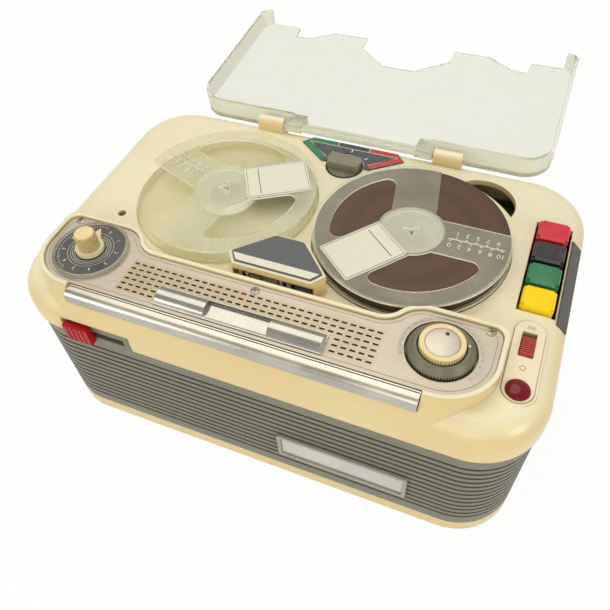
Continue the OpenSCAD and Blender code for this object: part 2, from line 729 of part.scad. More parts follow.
module tone_ring() color("#7D7A6C") translate([knob_x, control_y, 0]) difference() {
    union() {
        translate([0, 0, con_z - 4]) intersection() {
            linear_extrude(ring_rise + 4) fluted(72, ring_r, 0.55);
            rotate_extrude() polygon([
                [0, 0], [ring_r + 1, 0], [ring_r + 1, 3.4], [ring_top, ring_rise + 4], [0, ring_rise + 4]
            ]);
        }
        translate([0, 0, con_z - 13]) cylinder(d = tube_d, h = 10);
    }
    translate([0, 0, con_z + 0.6]) cylinder(r = volume_r + 0.8, h = 20);
    translate([0, 0, con_z - 20]) cylinder(d = shaft_d + 2 * run_gap, h = 30);
}

module volume_knob() color("#E4D49C") translate([knob_x, control_y, 0]) {
    translate([0, 0, con_z + 1]) linear_extrude(volume_h) fluted(56, volume_r, 0.45);
    translate([0, 0, con_z - 18]) cylinder(d = shaft_d, h = 20);
}

module volume_cap() color("#CFCDC8") translate([knob_x, control_y, con_z + 1 + volume_h]) intersection() {
    cylinder(r = cap_r, h = 4);
    translate([0, 0, -39.1]) sphere(r = 40, $fn = 200);
}

module volume_pot() color("#8B8B85") translate([knob_x, control_y, 0]) difference() {
    union() {
        translate([0, 0, con_low - 4]) linear_extrude(2) intersection() {
            circle(end_r - con_t - 0.6);
            translate([-30, -30]) square([60, 30 + panel_end_y - con_t - 0.6 - control_y]);
        }
        for (a = [45 : 90 : 315]) rotate([0, 0, a]) translate([ring_hole_r + 1.8, 0, con_low - 3])
            cylinder(r = 1.5, h = 3);
        translate([0, 0, con_low - 9]) cylinder(r = 6.5, h = 6);
        translate([0, 0, con_low - 24]) cylinder(r = 12, h = 15.1);
    }
    translate([0, 0, con_low - 14]) cylinder(d = tube_d + 2 * run_gap, h = 30);
    translate([0, 0, con_low - 20]) cylinder(d = shaft_d + 2 * run_gap, h = 30);
}

module speed_knob() color("#8A887E") translate([0, speed_y, 0]) {
    translate([0, 0, deck_z - 5.6]) cylinder(r = speed_r, h = 6);
    translate([0, 0, deck_z]) intersection() {
        linear_extrude(5.4) rrect(2 * speed_r, 10.4, 2.4);
        translate([0, 0, -8]) cylinder(r = speed_r, h = 20);
    }
    translate([0, 0, deck_z - 14]) cylinder(d = shaft_d + 2, h = 10);
}

// One key in row i: body, arm and eye on the rod
module key(i) translate([0, key_y - i * key_pitch, 0]) difference() {
    union() {
        translate([key_x + key_w / 2, 0, rod_z - 2.5]) linear_extrude(key_top - rod_z + 1)
            rrect(key_w, key_l, key_r);
        translate([key_x + key_w / 2, 0, key_top - 1.5]) linear_extrude(1.5)
            rrect(key_w - 2.4, key_l - 2.4, key_r);
        for (sx = [-1, 1]) translate([key_x + key_w / 2 + sx * (key_w / 2 - 1.5), 0, key_top - 1.5])
            rotate([90, 0, 0]) cylinder(r = 1.5, h = key_l - 3.6, center = true);
        for (sy = [-1, 1]) translate([key_x + key_w / 2, sy * (key_l / 2 - 1.5), key_top - 1.5])
            rotate([0, 90, 0]) cylinder(r = 1.5, h = key_w - 3.6, center = true);
        translate([rod_x, -4, rod_z - 2.5]) cube([key_x - rod_x + 2, 8, 5]);
        translate([rod_x, 0, rod_z]) rotate([90, 0, 0]) cylinder(r = 3.4, h = 8, center = true);
    }
    translate([rod_x, 0, rod_z]) rotate([90, 0, 0]) cylinder(d = rod_d + 2 * run_gap, h = 40, center = true);
}

module key_record() color("#C8283C") key(0);
module key_stop() color("#26292C") key(1);
module key_play() color("#1E7A48") key(2);
module key_rewind() color("#F2C400") key(3);

module key_rod() color("#B5B5B2") translate([rod_x, key_y - 3 * key_pitch - 14, rod_z]) rotate([-90, 0, 0])
    cylinder(d = rod_d, h = 3 * key_pitch + 28);

module switch_slider() color("#B5322C") translate([pill_x, pill_y + 2.1, deck_z]) {
    translate([-tog_w / 2, 0, -6]) cube([tog_w, tog_l, 7.4]);
    for (i = [0 : 7]) translate([-tog_w / 2, 0.6 + i * 1.3, 1.4]) cube([tog_w, 0.7, 0.8]);
}

module power_slider() color("#C01820") translate([notch_x + 2.4, front_y, skirt_z]) {
    translate([0, -4.4, -3.5]) linear_extrude(power_h) difference() {
        square([power_l, 4]);
        for (i = [0 : 3]) translate([3.2 + i * 3.2, 0]) circle(0.7);
    }
    translate([3, -1, 0]) cube([power_l - 6, 8, 4]);
}

// Outline of a flange window between the label spoke and a narrow spoke, its outer corners rounded
function window_pts() = let (
    f = window_f,
    rf = window_r - f,
    rh = hub_d / 2 + 1.4,
    p = 180 - spoke_a,
    ta = p + asin((spoke + f) / rf),
    tb = 180 - asin((label_spoke + f) / rf),
    ia = p + asin(spoke / rh),
    ib = 180 - asin(label_spoke / rh)
) concat(
    [for (k = [0 : 8])
        let (a = p - 90 + (ta - p + 90) * k / 8) rf * [cos(ta), sin(ta)] + f * [cos(a), sin(a)]],
    [for (k = [1 : 31]) let (a = ta + (tb - ta) * k / 32) window_r * [cos(a), sin(a)]],
    [for (k = [0 : 8]) let (a = tb + (270 - tb) * k / 8) rf * [cos(tb), sin(tb)] + f * [cos(a), sin(a)]],
    [for (k = [0 : 12]) let (a = ib + (ia - ib) * k / 12) rh * [cos(a), sin(a)]]
);

// Flange outline of a reel top: label spoke, two narrow spokes and the open threading gap
module flange_top() difference() {
    circle(reel_r);
    for (m = [0, 1]) mirror([0, m]) polygon(window_pts());
    difference() {
        polygon([[0, 0], [80 * cos(180 - spoke_a), -80 * sin(180 - spoke_a)], [120, 0],
            [80 * cos(180 - spoke_a), 80 * sin(180 - spoke_a)]]);
        circle(hub_d / 2 + 1.4);
        for (s = [-1, 1]) rotate(s * (180 - spoke_a)) translate([0, -spoke]) square([100, 2 * spoke]);
    }
}

// A clear reel at angle a
module reel(a) rotate([0, 0, a]) difference() {
    union() {
        translate([0, 0, reel_low]) cylinder(r = reel_r, h = flange_t);
        translate([0, 0, reel_low + 0.4]) cylinder(d = hub_d, h = reel_h - 0.8);
        translate([0, 0, reel_top - flange_t]) linear_extrude(flange_t) flange_top();
    }
    translate([0, 0, reel_low - 1]) cylinder(d = pin_d + 0.2, h = reel_h + 2);
    translate([0, 0, reel_top - 0.5]) cylinder(d = hub_d - 5, h = 3);
    for (k = [0 : 2]) rotate([0, 0, 120 * k]) translate([0, -0.8, reel_top - 2]) cube([4.6, 1.6, 3]);
}

module reel_label(a) rotate([0, 0, a]) translate([-31.2, 0, reel_top]) linear_extrude(0.2)
    rrect(label_l, label_w, 1.5);

module spindle() difference() {
    union() {
        translate([0, 0, table_z]) cylinder(d = table_d, h = reel_low - table_z);
        translate([0, 0, chassis_z - 9]) cylinder(d = spindle_d, h = table_z - chassis_z + 9.5);
        translate([0, 0, chassis_z - 9]) cylinder(r = 12, h = 4);
        translate([0, 0, reel_low - 1]) cylinder(d = pin_d, h = reel_h - 2.4);
    }
    translate([0, 0, chassis_z - 7]) difference() {
        cylinder(r = 14, h = 1);
        cylinder(r = 11, h = 1);
    }
}

module left_reel() color("#DDE3DA") translate([-reel_x, reel_y, 0]) reel(left_a);
module right_reel() color("#DDE3DA") translate([reel_x, reel_y, 0]) reel(right_a);
module left_label() color("#F1EFE2") translate([-reel_x, reel_y, 0]) reel_label(left_a);
module right_label() color("#F1EFE2") translate([reel_x, reel_y, 0]) reel_label(right_a);
module left_spindle() color("#A5A5A0") translate([-reel_x, reel_y, 0]) spindle();
module right_spindle() color("#A5A5A0") translate([reel_x, reel_y, 0]) spindle();

module tape_pack() color("#5B3A2A") translate([reel_x, reel_y, reel_low + flange_t + 0.3]) difference() {
    cylinder(r = pack_r, h = tape_w);
    translate([0, 0, -1]) cylinder(d = hub_d, h = tape_w + 2);
}

module spindle_bushes() color("#B79A5C") for (sx = [-1, 1]) translate([sx * reel_x, reel_y, 0]) difference() {
    union() {
        translate([0, 0, chassis_z - 2]) cylinder(r = 5, h = table_z - 0.7 - chassis_z + 2);
        translate([0, 0, chassis_top]) cylinder(r = 9, h = 2);
    }
    translate([0, 0, chassis_z - 5]) cylinder(d = spindle_d + 2 * run_gap, h = 30);
}

// Lid outline from the hinge line, closed and lying to the front
module lid_outline(g) difference() {
    union() {
        translate([-lid_hw + g + 18, lid_back + g]) square([2 * (lid_hw - g - 18), 30]);
        translate([-lid_hw + g, lid_back + 18]) square([2 * (lid_hw - g), lid_l - g - lid_back - 18 - 6]);
        translate([-lid_hw + g + 6, lid_back + 18]) square([2 * (lid_hw - g - 6), lid_l - g - lid_back - 18]);
        for (sx = [-1, 1]) {
            translate([sx * (lid_hw - 18), lid_back + 18]) circle(18 - g);
            translate([sx * (lid_hw - g - 6), lid_l - g - 6]) circle(6);
        }
    }
    polygon([[-34 - g, lid_l + 17], [-34 - g, notch_l1 - g], [-12 - g, notch_l0 - g], [12 + g, notch_l0 - g],
        [34 + g, notch_l1 - g], [34 + g, lid_l + 17]]);
    for (m = [0, 1]) mirror([m, 0])
        polygon([
            [60 - g, lid_l + 17], [60 - g, lid_l + 0.2 - g], [78 - g, notch_l1 + 2 - g],
            [89 + g, notch_l1 + 1 - g], [92 + g, lid_l + 17]
        ]);
}

module lid() color("#D5DED2", 0.45) translate([0, hinge_y, hinge_z]) rotate([-lid_open, 0, 0])
    mirror([0, 1, 0]) difference() {
        union() {
            translate([0, 0, lid_h - hinge_rise + 0.4 - lid_t]) linear_extrude(lid_t) lid_outline(0);
            translate([0, 0, 0.4 - hinge_rise]) linear_extrude(lid_h) difference() {
                lid_outline(0);
                lid_outline(lid_t);
                translate([-lid_hw + 8, lid_back + 30]) square([2 * lid_hw - 16, 130]);
                translate([-47, 0]) square([94, lid_back + 22]);
            }
            translate([-44.4, 0, 0]) rotate([0, 90, 0]) cylinder(r = barrel_r - 1.1, h = 88.8);
            for (sx = [-1, 1]) translate([sx * 44.4 - 5.6, 0, 0]) {
                rotate([0, 90, 0]) cylinder(r = barrel_r, h = 11.2);
                translate([0, 0, -1]) cube([11.2, lid_back + 4, 5]);
                translate([0, lid_back, -1]) cube([11.2, 4, lid_h - hinge_rise + 1]);
            }
        }
        translate([-60, 0, 0]) rotate([0, 90, 0]) cylinder(d = hinge_d + 2 * run_gap, h = 120);
    }

module hinge_pins() color("#B8B8B4") for (sx = [-1, 1])
    translate([sx * 54.4 - 15.2, hinge_y, hinge_z]) rotate([0, 90, 0]) cylinder(d = hinge_d, h = 30.4);

module chassis_plate() color("#A8A79C") translate([0, 0, chassis_z]) linear_extrude(chassis_t) difference() {
    union() {
        translate([0, 24]) rrect(256, 112, 8);
        translate([-30, -52]) square([64, 40]);
    }
    for (sx = [-1, 1]) translate([sx * reel_x, reel_y]) circle(5);
    translate([capstan_x, capstan_y]) circle(capstan_d / 2 + 1);
    translate([0, speed_y]) circle(6);
    for (p = post_pts) translate(p) circle(d = 3);
}

module chassis_screws() color("#9A9A98") for (p = post_pts) translate([p[0], p[1], chassis_z]) {
    translate([0, 0, -2]) cylinder(r = 3, h = 2);
    cylinder(d = 3, h = chassis_t);
}

module capstan_bearing() color("#B79A5C") translate([capstan_x, capstan_y, 0]) difference() {
    union() {
        translate([0, 0, chassis_z - 16]) cylinder(r = 5, h = 16);
        translate([0, 0, chassis_z - 2]) cylinder(r = 9, h = 2);
        translate([0, 0, chassis_z - 1]) cylinder(r = capstan_d / 2 + 1, h = 12);
    }
    translate([0, 0, chassis_z - 20]) cylinder(d = capstan_d + 2 * run_gap, h = 40);
}

module capstan() color("#C9C9C6") translate([capstan_x, capstan_y, 0]) difference() {
    union() {
        translate([0, 0, belt_z - 7]) cylinder(d = capstan_d, h = deck_z + 7.6 - belt_z + 7);
        translate([0, 0, belt_z - 5]) cylinder(r = fly_r, h = 10);
        translate([0, 0, belt_z + 5]) cylinder(r = 8, h = 6);
    }
    translate([0, 0, belt_z - 2]) difference() {
        cylinder(r = fly_r + 5, h = 4);
        cylinder(r = fly_r - 1.5, h = 4);
    }
}

module motor_pulley() color("#BDBDB8") translate([motor_x, motor_y, 0]) difference() {
    union() {
        translate([0, 0, belt_z - 4]) cylinder(r = pulley_r + 1.5, h = 8);
        translate([0, 0, belt_z - 4]) cylinder(d = shaft_d, h = 22);
    }
    translate([0, 0, belt_z - 2]) difference() {
        cylinder(r = pulley_r + 5, h = 4);
        cylinder(r = pulley_r, h = 4);
    }
}

module motor() color("#77797A") translate([motor_x, motor_y, 0]) difference() {
    union() {
        translate([0, 0, belt_z + 13]) cylinder(r = motor_r, h = chassis_z - belt_z - 13);
        translate([0, 0, belt_z + 9]) cylinder(r = 7, h = 5);
    }
    translate([0, 0, belt_z]) cylinder(d = shaft_d + 2 * run_gap, h = 20);
}

// Solid loop round the two groove floors, grown by g, of height h
module belt_loop(g, h) {
    dx = motor_x - capstan_x;
    dy = motor_y - capstan_y;
    dist = sqrt(dx * dx + dy * dy);
    r1 = fly_r - 1.5 + g;
    r2 = pulley_r + g;
    b = acos((r1 - r2) / dist);
    translate([capstan_x, capstan_y, 0]) rotate([0, 0, atan2(dy, dx)]) linear_extrude(h) polygon(concat(
        [for (k = [0 : 48]) [r1 * cos(b + (360 - 2 * b) * k / 48), r1 * sin(b + (360 - 2 * b) * k / 48)]],
        [for (k = [0 : 16]) [dist + r2 * cos(2 * b * k / 16 - b), r2 * sin(2 * b * k / 16 - b)]]
    ));
}

module drive_belt() color("#2A2926") translate([0, 0, belt_z - 1.5]) difference() {
    belt_loop(0.3 + belt_t, 3);
    translate([0, 0, -1]) belt_loop(0.3, 5);
}

module pinch_arm() color("#8F8E88") {
    translate([arm_x, arm_y, deck_z - 9]) cylinder(d = shaft_d, h = 12.5);
    translate([0, 0, arm_z]) linear_extrude(1.1) {
        translate([arm_x, arm_y]) circle(3.4);
        translate([pinch_x, pinch_y]) circle(2.4);
        translate([arm_x, arm_y]) rotate(atan2(pinch_y - arm_y, pinch_x - arm_x)) translate([0, -2.4])
            square([sqrt(pow(pinch_x - arm_x, 2) + pow(pinch_y - arm_y, 2)), 4.8]);
    }
    translate([pinch_x, pinch_y, arm_z + 0.6]) cylinder(d = pinch_pin, h = 5.7);
}

module pinch_roller() color("#5F5E5A") translate([pinch_x, pinch_y, arm_z + 1.5]) difference() {
    cylinder(r = pinch_r, h = 4.6);
    translate([0, 0, -1]) cylinder(d = pinch_pin + 2 * run_gap, h = 10);
}

module record_head() color("#8E8D87") translate([-7, -44.6, 0]) {
    translate([0, 0, deck_z - 6]) cube([9, 6.6, 13.6]);
    translate([2, 1.4, chassis_top]) cube([5, 4.6, deck_z - 6 - chassis_top]);
}

module erase_head() color("#7C7B76") translate([-13.8, -44.6, 0]) {
    translate([0, 0, deck_z - 6]) cube([6, 6.6, 12.6]);
    translate([1, 1.4, chassis_top]) cube([4, 4.6, deck_z - 6 - chassis_top]);
}

module tape_guides() color("#DADAD6") for (x = [-19.6, -16, 3.6])
    translate([x, -43.4, chassis_top]) {
        cylinder(r = 1, h = deck_z + 7.8 - chassis_top);
        translate([0, 0, deck_z + 6.4 - chassis_top]) cylinder(r = 1.3, h = 1);
    }

module speaker() color("#3A3A38") translate([-62, -60, speaker_z]) {
    cylinder(r = 15, h = 14);
    translate([0, 0, 14]) cylinder(r1 = 15, r2 = 26.4, h = 20);
    translate([0, 0, 34]) cylinder(r = 27.4, h = 2.4);
    for (x = [-10, 8]) {
        translate([x - 3, 15, 36]) cube([6, 6, well_z - cup_t - speaker_z - 36]);
        translate([x - 3, -24, 36]) cube([6, 4, ledge_z - con_t - speaker_z - 36]);
    }
}

module transformer() color("#5E6062") translate([-92, 48, tray_t]) {
    translate([-26, -21, 0]) cube([52, 42, 3]);
    translate([-24, -10, 3]) cube([48, 20, 42]);
    translate([-15, -19, 9]) cube([30, 38, 30]);
}

module amplifier_board() color("#8A6A3A") translate([board_x, 56, tray_t]) {
    translate([-54, -24, 7]) cube([108, 47.4, 1.6]);
    for (sx = [-1, 1], sy = [-1, 1]) translate([sx * 49, sy * 19, 0]) cylinder(r = 3, h = 7);
    for (x = [-30, 0, 30]) translate([x, 2, 8.6]) cylinder(r = 9, h = 5);
}

module valves() color("#C8CCC8") for (x = [-30, 0, 30]) translate([board_x + x, 58, tray_t + 13.6]) {
    cylinder(r = 9.6, h = 30);
    intersection() {
        translate([0, 0, 26]) sphere(r = 10.4);
        translate([0, 0, 28]) cylinder(r = 9.4, h = 12);
    }
}

module mains_inlet() color("#3B342E") translate([-80, band_d / 2, 39]) difference() {
    union() {
        translate([-15, -12, -9]) cube([30, 12, 18]);
        translate([-17, 0, -11]) cube([34, 1.2, 22]);
    }
    translate([-11, -8, -6]) cube([22, 12, 12]);
}

module audio_sockets() color("#3E3E3C") for (x = [-40, -18])
    translate([x, band_d / 2, 39]) rotate([-90, 0, 0]) difference() {
        union() {
            translate([0, 0, -12]) cylinder(r = 8, h = 12);
            cylinder(r = 9.4, h = 1.2);
        }
        translate([0, 0, -8]) cylinder(r = 5.6, h = 12);
    }

base_tray();
ribbed_band();
deck();
front_panel();
grip_trim();
head_cover();
head_plate();
speed_plate();
key_strip();
badge_frame();
badge_plate();
switch_plate();
jewel_lamp();
dial_face();
dial_bezel();
hinge_pins();
key_rod();
chassis_plate();
chassis_screws();
spindle_bushes();
capstan_bearing();
record_head();
erase_head();
tape_guides();
volume_pot();
motor();
drive_belt();
transformer();
speaker();
amplifier_board();
valves();
mains_inlet();
audio_sockets();
base_screws();
panel_screws();
lid();
left_reel();
left_label();
left_spindle();
right_reel();
right_label();
tape_pack();
right_spindle();
key_record();
key_stop();
key_play();
key_rewind();
speed_knob();
dial_pointer();
dial_knob();
tone_ring();
volume_knob();
volume_cap();
switch_slider();
power_slider();
carry_handle();
capstan();
motor_pulley();
pinch_arm();
pinch_roller();
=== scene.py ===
# %% [markdown]
# A portable reel-to-reel tape recorder, dressed for a studio picture. The solids come from the CAD model
# in one fixed frame, in metres: X to the right, Y to the back, Z up. Nothing of the CAD is moved here.
# This lesson gives each solid the finish of its real material and adds the thin prints and small marks
# that a solid can't carry.

# %% Load the frame
import bmesh
import bpy
import math
from mathutils import Matrix, Vector


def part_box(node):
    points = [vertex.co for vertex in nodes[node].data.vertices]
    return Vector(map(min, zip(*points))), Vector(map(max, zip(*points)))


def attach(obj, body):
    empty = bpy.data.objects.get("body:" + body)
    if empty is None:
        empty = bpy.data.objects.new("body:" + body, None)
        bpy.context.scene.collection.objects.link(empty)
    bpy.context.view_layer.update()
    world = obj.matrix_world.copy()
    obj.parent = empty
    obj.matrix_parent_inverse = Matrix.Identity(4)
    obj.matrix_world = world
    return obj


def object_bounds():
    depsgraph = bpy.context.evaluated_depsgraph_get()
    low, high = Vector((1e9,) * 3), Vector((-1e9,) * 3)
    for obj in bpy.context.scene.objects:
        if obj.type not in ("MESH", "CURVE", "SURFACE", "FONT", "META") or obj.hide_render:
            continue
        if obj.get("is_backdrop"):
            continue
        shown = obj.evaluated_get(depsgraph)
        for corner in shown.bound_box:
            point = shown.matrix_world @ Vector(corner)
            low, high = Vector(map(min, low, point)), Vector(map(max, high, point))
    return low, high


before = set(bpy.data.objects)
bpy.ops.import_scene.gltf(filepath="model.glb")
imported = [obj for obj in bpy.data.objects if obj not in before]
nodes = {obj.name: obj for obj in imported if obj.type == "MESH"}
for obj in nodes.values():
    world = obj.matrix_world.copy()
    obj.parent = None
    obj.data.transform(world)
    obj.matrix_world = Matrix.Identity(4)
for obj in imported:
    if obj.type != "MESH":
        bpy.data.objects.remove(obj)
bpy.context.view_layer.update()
scene = bpy.context.scene

# %% [markdown]
# Small tools first. Colours are written as sRGB hex, as a colour picker shows them, and one function
# turns them to the linear values that the shader wants. Pattern sizes are written in millimetres: object
# coordinates are in metres, so a pattern of a given size needs a scale of a thousand divided by that
# size. The sockets of a node go by name or by number: a MapRange takes its value as 0, the range in as 1
# and 2 and the range out as 3 and 4, and a colour Mix takes its share as 0 and its colours as 6 and 7.

# %% Helpers for colour, size and nodes
MM = 0.001


def paint(hex_colour):
    parts = [int(hex_colour[i:i + 2], 16) / 255 for i in (1, 3, 5)]
    return [p / 12.92 if p <= 0.04045 else ((p + 0.055) / 1.055) ** 2.4 for p in parts] + [1.0]


def per_mm(size):
    return 1000.0 / size


def middle_mm(name):
    # The mesh of a round solid can be a few micrometres off its axis, so the middle is rounded
    low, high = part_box(name)
    return round((low.x + high.x) / 2 / MM, 1), round((low.y + high.y) / 2 / MM, 1)


def add(tree, kind, links=None, **settings):
    node = tree.nodes.new("ShaderNode" + kind)
    for name, value in settings.items():
        setattr(node, name, value)
    for socket, value in (links or {}).items():
        if isinstance(value, bpy.types.NodeSocket):
            tree.links.new(value, node.inputs[socket])
        else:
            node.inputs[socket].default_value = value
    return node


def new_finish(name):
    material = bpy.data.materials.new(name)
    material.use_nodes = True
    tree = material.node_tree
    return material, tree, tree.nodes["Principled BSDF"]


def wear(*names, finish):
    for name in names:
        for material_slot in nodes[name].material_slots:
            material_slot.material = finish
    print(finish.name, "on", ", ".join(names))


print("linear mid cream:", [round(v, 3) for v in paint("#EFE3C2")[:3]])

# %% [markdown]
# The case is moulded in cream ABS, a plastic that yellows with age where light reaches it. Seen from above it
# is pale, while its front, rims and lower walls are painted honey coloured: partly the yellowing, partly
# painted shade on faces turned away from the light above. The way a face points tells which colour it takes:
# the upward part of its normal drives the mix, with slow noise so that it isn't even. A rounded normal on the
# edges stands for the small radius that every moulding has, and a fine noise for its satin skin. Small specks
# of grime are strewn over it.

# %% Aged cream ABS of the case
def cream_abs(name, fresh, aged_and_shaded, all_aged_and_shaded):
    finish, tree, skin = new_finish(name)
    place = add(tree, "TexCoord")
    faces = add(tree, "NewGeometry")
    up = add(tree, "SeparateXYZ", {0: faces.outputs["Normal"]})
    slow = add(tree, "TexNoise", {"Vector": place.outputs["Object"], "Scale": per_mm(60), "Detail": 4.0})
    # Painted shade and ageing: the less a face points up, the more it takes the darker aged colour
    lean_shade = add(tree, "MapRange", {0: up.outputs["Z"], 1: all_aged_and_shaded, 2: 0.97, 3: 1.0, 4: 0.0})
    shift = add(tree, "MapRange", {0: slow.outputs["Fac"], 1: 0.35, 2: 0.7, 3: -0.12, 4: 0.22})
    age_and_shade = add(tree, "Math", {0: lean_shade.outputs[0], 1: shift.outputs[0]}, operation="ADD", use_clamp=True)
    tone = add(tree, "Mix", {0: age_and_shade.outputs[0], 6: paint(fresh), 7: paint(aged_and_shaded)}, data_type="RGBA")
    specks = add(tree, "TexNoise", {"Vector": place.outputs["Object"], "Scale": per_mm(2.2), "Detail": 2.0})
    darkening = add(tree, "MapRange", {0: specks.outputs["Fac"], 1: 0.7, 2: 0.78, 3: 0.0, 4: 0.35})
    dirty = add(tree, "Mix", {0: darkening.outputs[0], 6: tone.outputs[2], 7: paint("#9A8457")}, data_type="RGBA")
    tree.links.new(dirty.outputs[2], skin.inputs["Base Color"])
    rough = add(tree, "MapRange", {0: slow.outputs["Fac"], 1: 0.3, 2: 0.7, 3: 0.24, 4: 0.36})
    tree.links.new(rough.outputs[0], skin.inputs["Roughness"])
    skin.inputs["IOR"].default_value = 1.52
    grain = add(tree, "TexNoise", {"Vector": place.outputs["Object"], "Scale": per_mm(0.6), "Detail": 2.0})
    edge = add(tree, "Bevel", {"Radius": 0.9 * MM}, samples=4)
    bump = add(tree, "Bump", {"Strength": 0.03, "Distance": 0.2 * MM, "Height": grain.outputs["Fac"],
                              "Normal": edge.outputs[0]})
    tree.links.new(bump.outputs[0], skin.inputs["Normal"])
    return finish


# Faces whose normals point up by less than the given limit take the aged colour, with its painted shade, all
# over, but for the noise
deck_abs = cream_abs("moulded_ABS_cream_deck", "#EEE6CA", "#DECA94", all_aged_and_shaded=0.55)
tray_abs = cream_abs("moulded_ABS_cream_tray", "#E6D6A8", "#DCC587", all_aged_and_shaded=-0.2)
wear("deck", "switch_plate", "head_cover", finish=deck_abs)
wear("base_tray", finish=tray_abs)

# %% [markdown]
# The ribbed band round the case is grey moulded polystyrene, slightly warm, with painted shade in its
# grooves. Ambient occlusion finds the grooves, because little light reaches them, and darkens them. The skin
# is dull.

# %% Grey polystyrene of the band
def grey_band():
    finish, tree, skin = new_finish("moulded_polystyrene_grey_band")
    place = add(tree, "TexCoord")
    slow = add(tree, "TexNoise", {"Vector": place.outputs["Object"], "Scale": per_mm(40), "Detail": 5.0})
    tone = add(tree, "Mix", {0: slow.outputs["Fac"], 6: paint("#686757"), 7: paint("#797765")},
               data_type="RGBA")
    # Painted shade: ambient occlusion darkens the grooves between the ribs
    occlusion = add(tree, "AmbientOcclusion", {"Distance": 3.0 * MM}, samples=6)
    rib_groove_shade = add(tree, "MapRange", {0: occlusion.outputs["AO"], 1: 0.35, 2: 0.9, 3: 0.65, 4: 0.0})
    rib_groove_shaded = add(tree, "Mix", {0: rib_groove_shade.outputs[0], 6: tone.outputs[2], 7: paint("#4F4F47")}, data_type="RGBA")
    tree.links.new(rib_groove_shaded.outputs[2], skin.inputs["Base Color"])
    skin.inputs["Roughness"].default_value = 0.46
    skin.inputs["IOR"].default_value = 1.59
    grain = add(tree, "TexNoise", {"Vector": place.outputs["Object"], "Scale": per_mm(0.8), "Detail": 3.0})
    edge = add(tree, "Bevel", {"Radius": 0.5 * MM}, samples=4)
    bump = add(tree, "Bump", {"Strength": 0.06, "Distance": 0.3 * MM, "Height": grain.outputs["Fac"],
                              "Normal": edge.outputs[0]})
    tree.links.new(bump.outputs[0], skin.inputs["Normal"])
    return finish


wear("ribbed_band", finish=grey_band())

# %% [markdown]
# The panel is sheet aluminium, brushed along its length and anodised, then worn by hands: a warm silver
# with blotches. The brush lines are noise stretched along X. Real ones are about 0.05 mm apart, too fine
# to show, so they are drawn at 0.35 mm. Round the slots the sheet has a tan stain, stronger at the left.
# The other metals use the same function, without the stain.

# %% Metals
BRUSH_LINE = 0.35


def metal(name, light, dark, rough_low, rough_high, lines=None, blotch=25.0, bump_by=0.02, stain=None):
    finish, tree, skin = new_finish(name)
    place = add(tree, "TexCoord")
    stretch = add(tree, "Mapping", {"Vector": place.outputs["Object"], "Scale": lines or (1.0, 1.0, 1.0)})
    brush = add(tree, "TexNoise", {"Vector": stretch.outputs[0], "Scale": per_mm(BRUSH_LINE), "Detail": 2.0})
    slow = add(tree, "TexNoise", {"Vector": place.outputs["Object"], "Scale": per_mm(blotch), "Detail": 5.0})
    both = add(tree, "Math", {0: brush.outputs["Fac"], 1: slow.outputs["Fac"]}, operation="MULTIPLY")
    part = add(tree, "MapRange", {0: both.outputs[0], 1: 0.15, 2: 0.38, 3: 0.0, 4: 1.0})
    tone = add(tree, "Mix", {0: part.outputs[0], 6: paint(dark), 7: paint(light)}, data_type="RGBA")
    if stain:
        middle, half, colour = stain
        soft = 1.5 * MM
        to_middle = (-middle[0], -middle[1], 0.0)
        spot = add(tree, "Mapping", {"Vector": place.outputs["Object"], "Location": to_middle})
        axes = add(tree, "SeparateXYZ", {0: spot.outputs[0]})
        share = add(tree, "MapRange", {0: axes.outputs["X"], 1: -half[0], 2: half[0], 3: 0.85, 4: 0.45})
        for axis, reach in zip("XY", half):
            away = add(tree, "Math", {0: axes.outputs[axis]}, operation="ABSOLUTE")
            inside = add(tree, "MapRange", {0: away.outputs[0], 1: reach + soft, 2: reach - soft,
                                            3: 0.0, 4: 1.0})
            share = add(tree, "Math", {0: share.outputs[0], 1: inside.outputs[0]}, operation="MULTIPLY")
        tone = add(tree, "Mix", {0: share.outputs[0], 6: tone.outputs[2], 7: paint(colour)}, data_type="RGBA")
    tree.links.new(tone.outputs[2], skin.inputs["Base Color"])
    skin.inputs["Metallic"].default_value = 1.0
    rough = add(tree, "MapRange", {0: slow.outputs["Fac"], 1: 0.3, 2: 0.7, 3: rough_low, 4: rough_high})
    tree.links.new(rough.outputs[0], skin.inputs["Roughness"])
    edge = add(tree, "Bevel", {"Radius": 0.4 * MM}, samples=4)
    bump = add(tree, "Bump", {"Strength": bump_by, "Distance": 0.1 * MM, "Height": brush.outputs["Fac"],
                              "Normal": edge.outputs[0]})
    tree.links.new(bump.outputs[0], skin.inputs["Normal"])
    return finish


print("brush lines in mm:", BRUSH_LINE)

# %% [markdown]
# Which metal is where. They differ in tint, in how clear their reflections are and in the size of their
# blotches.

# %% Metal parts
ALONG_X = (0.02, 1.0, 1.0)
grille_middle = (middle_mm("front_panel")[0] * MM, -68.8 * MM)
grille_half = (70.5 * MM, 11.2 * MM)
# Brushed, anodised aluminium gives a broad warm sheen and no clear reflection
panel_sheet = metal("brushed_anodised_aluminium_panel", "#BEB6A9", "#B0A79A", 0.42, 0.56, ALONG_X,
                    blotch=18.0, bump_by=0.03, stain=(grille_middle, grille_half, "#A89A80"))
# Polished chrome gives clear reflections, bright and dark side by side
chrome = metal("polished_chrome_plate", "#B6B4AE", "#A19F99", 0.14, 0.24)
# Spun aluminium gives a pale shine, half clear
satin = metal("spun_aluminium", "#D7D7CB", "#C1C1B5", 0.25, 0.36)
# Frosted aluminium gives an even, pale top
cap_metal = metal("frosted_aluminium_cap", "#D2CCC0", "#BDB6AA", 0.46, 0.56, blotch=6.0)
# Satin chrome, rubbed lengthwise, gives long streaks of light
bar_metal = metal("satin_chrome_bar", "#C6C3B9", "#B0ADA2", 0.22, 0.34, ALONG_X)
# Ground steel gives small sharp glints
bright_steel = metal("ground_steel", "#C9C8C4", "#A9A8A4", 0.2, 0.32)
# Dull steel gives a quiet grey under the clear hubs
dull_steel = metal("dull_grey_steel", "#A8A49A", "#918D84", 0.4, 0.5)
# Zinc plate gives a soft, slightly yellow grey
zinc = metal("zinc_plated_steel", "#B4B2A6", "#97958B", 0.38, 0.52, blotch=12.0)
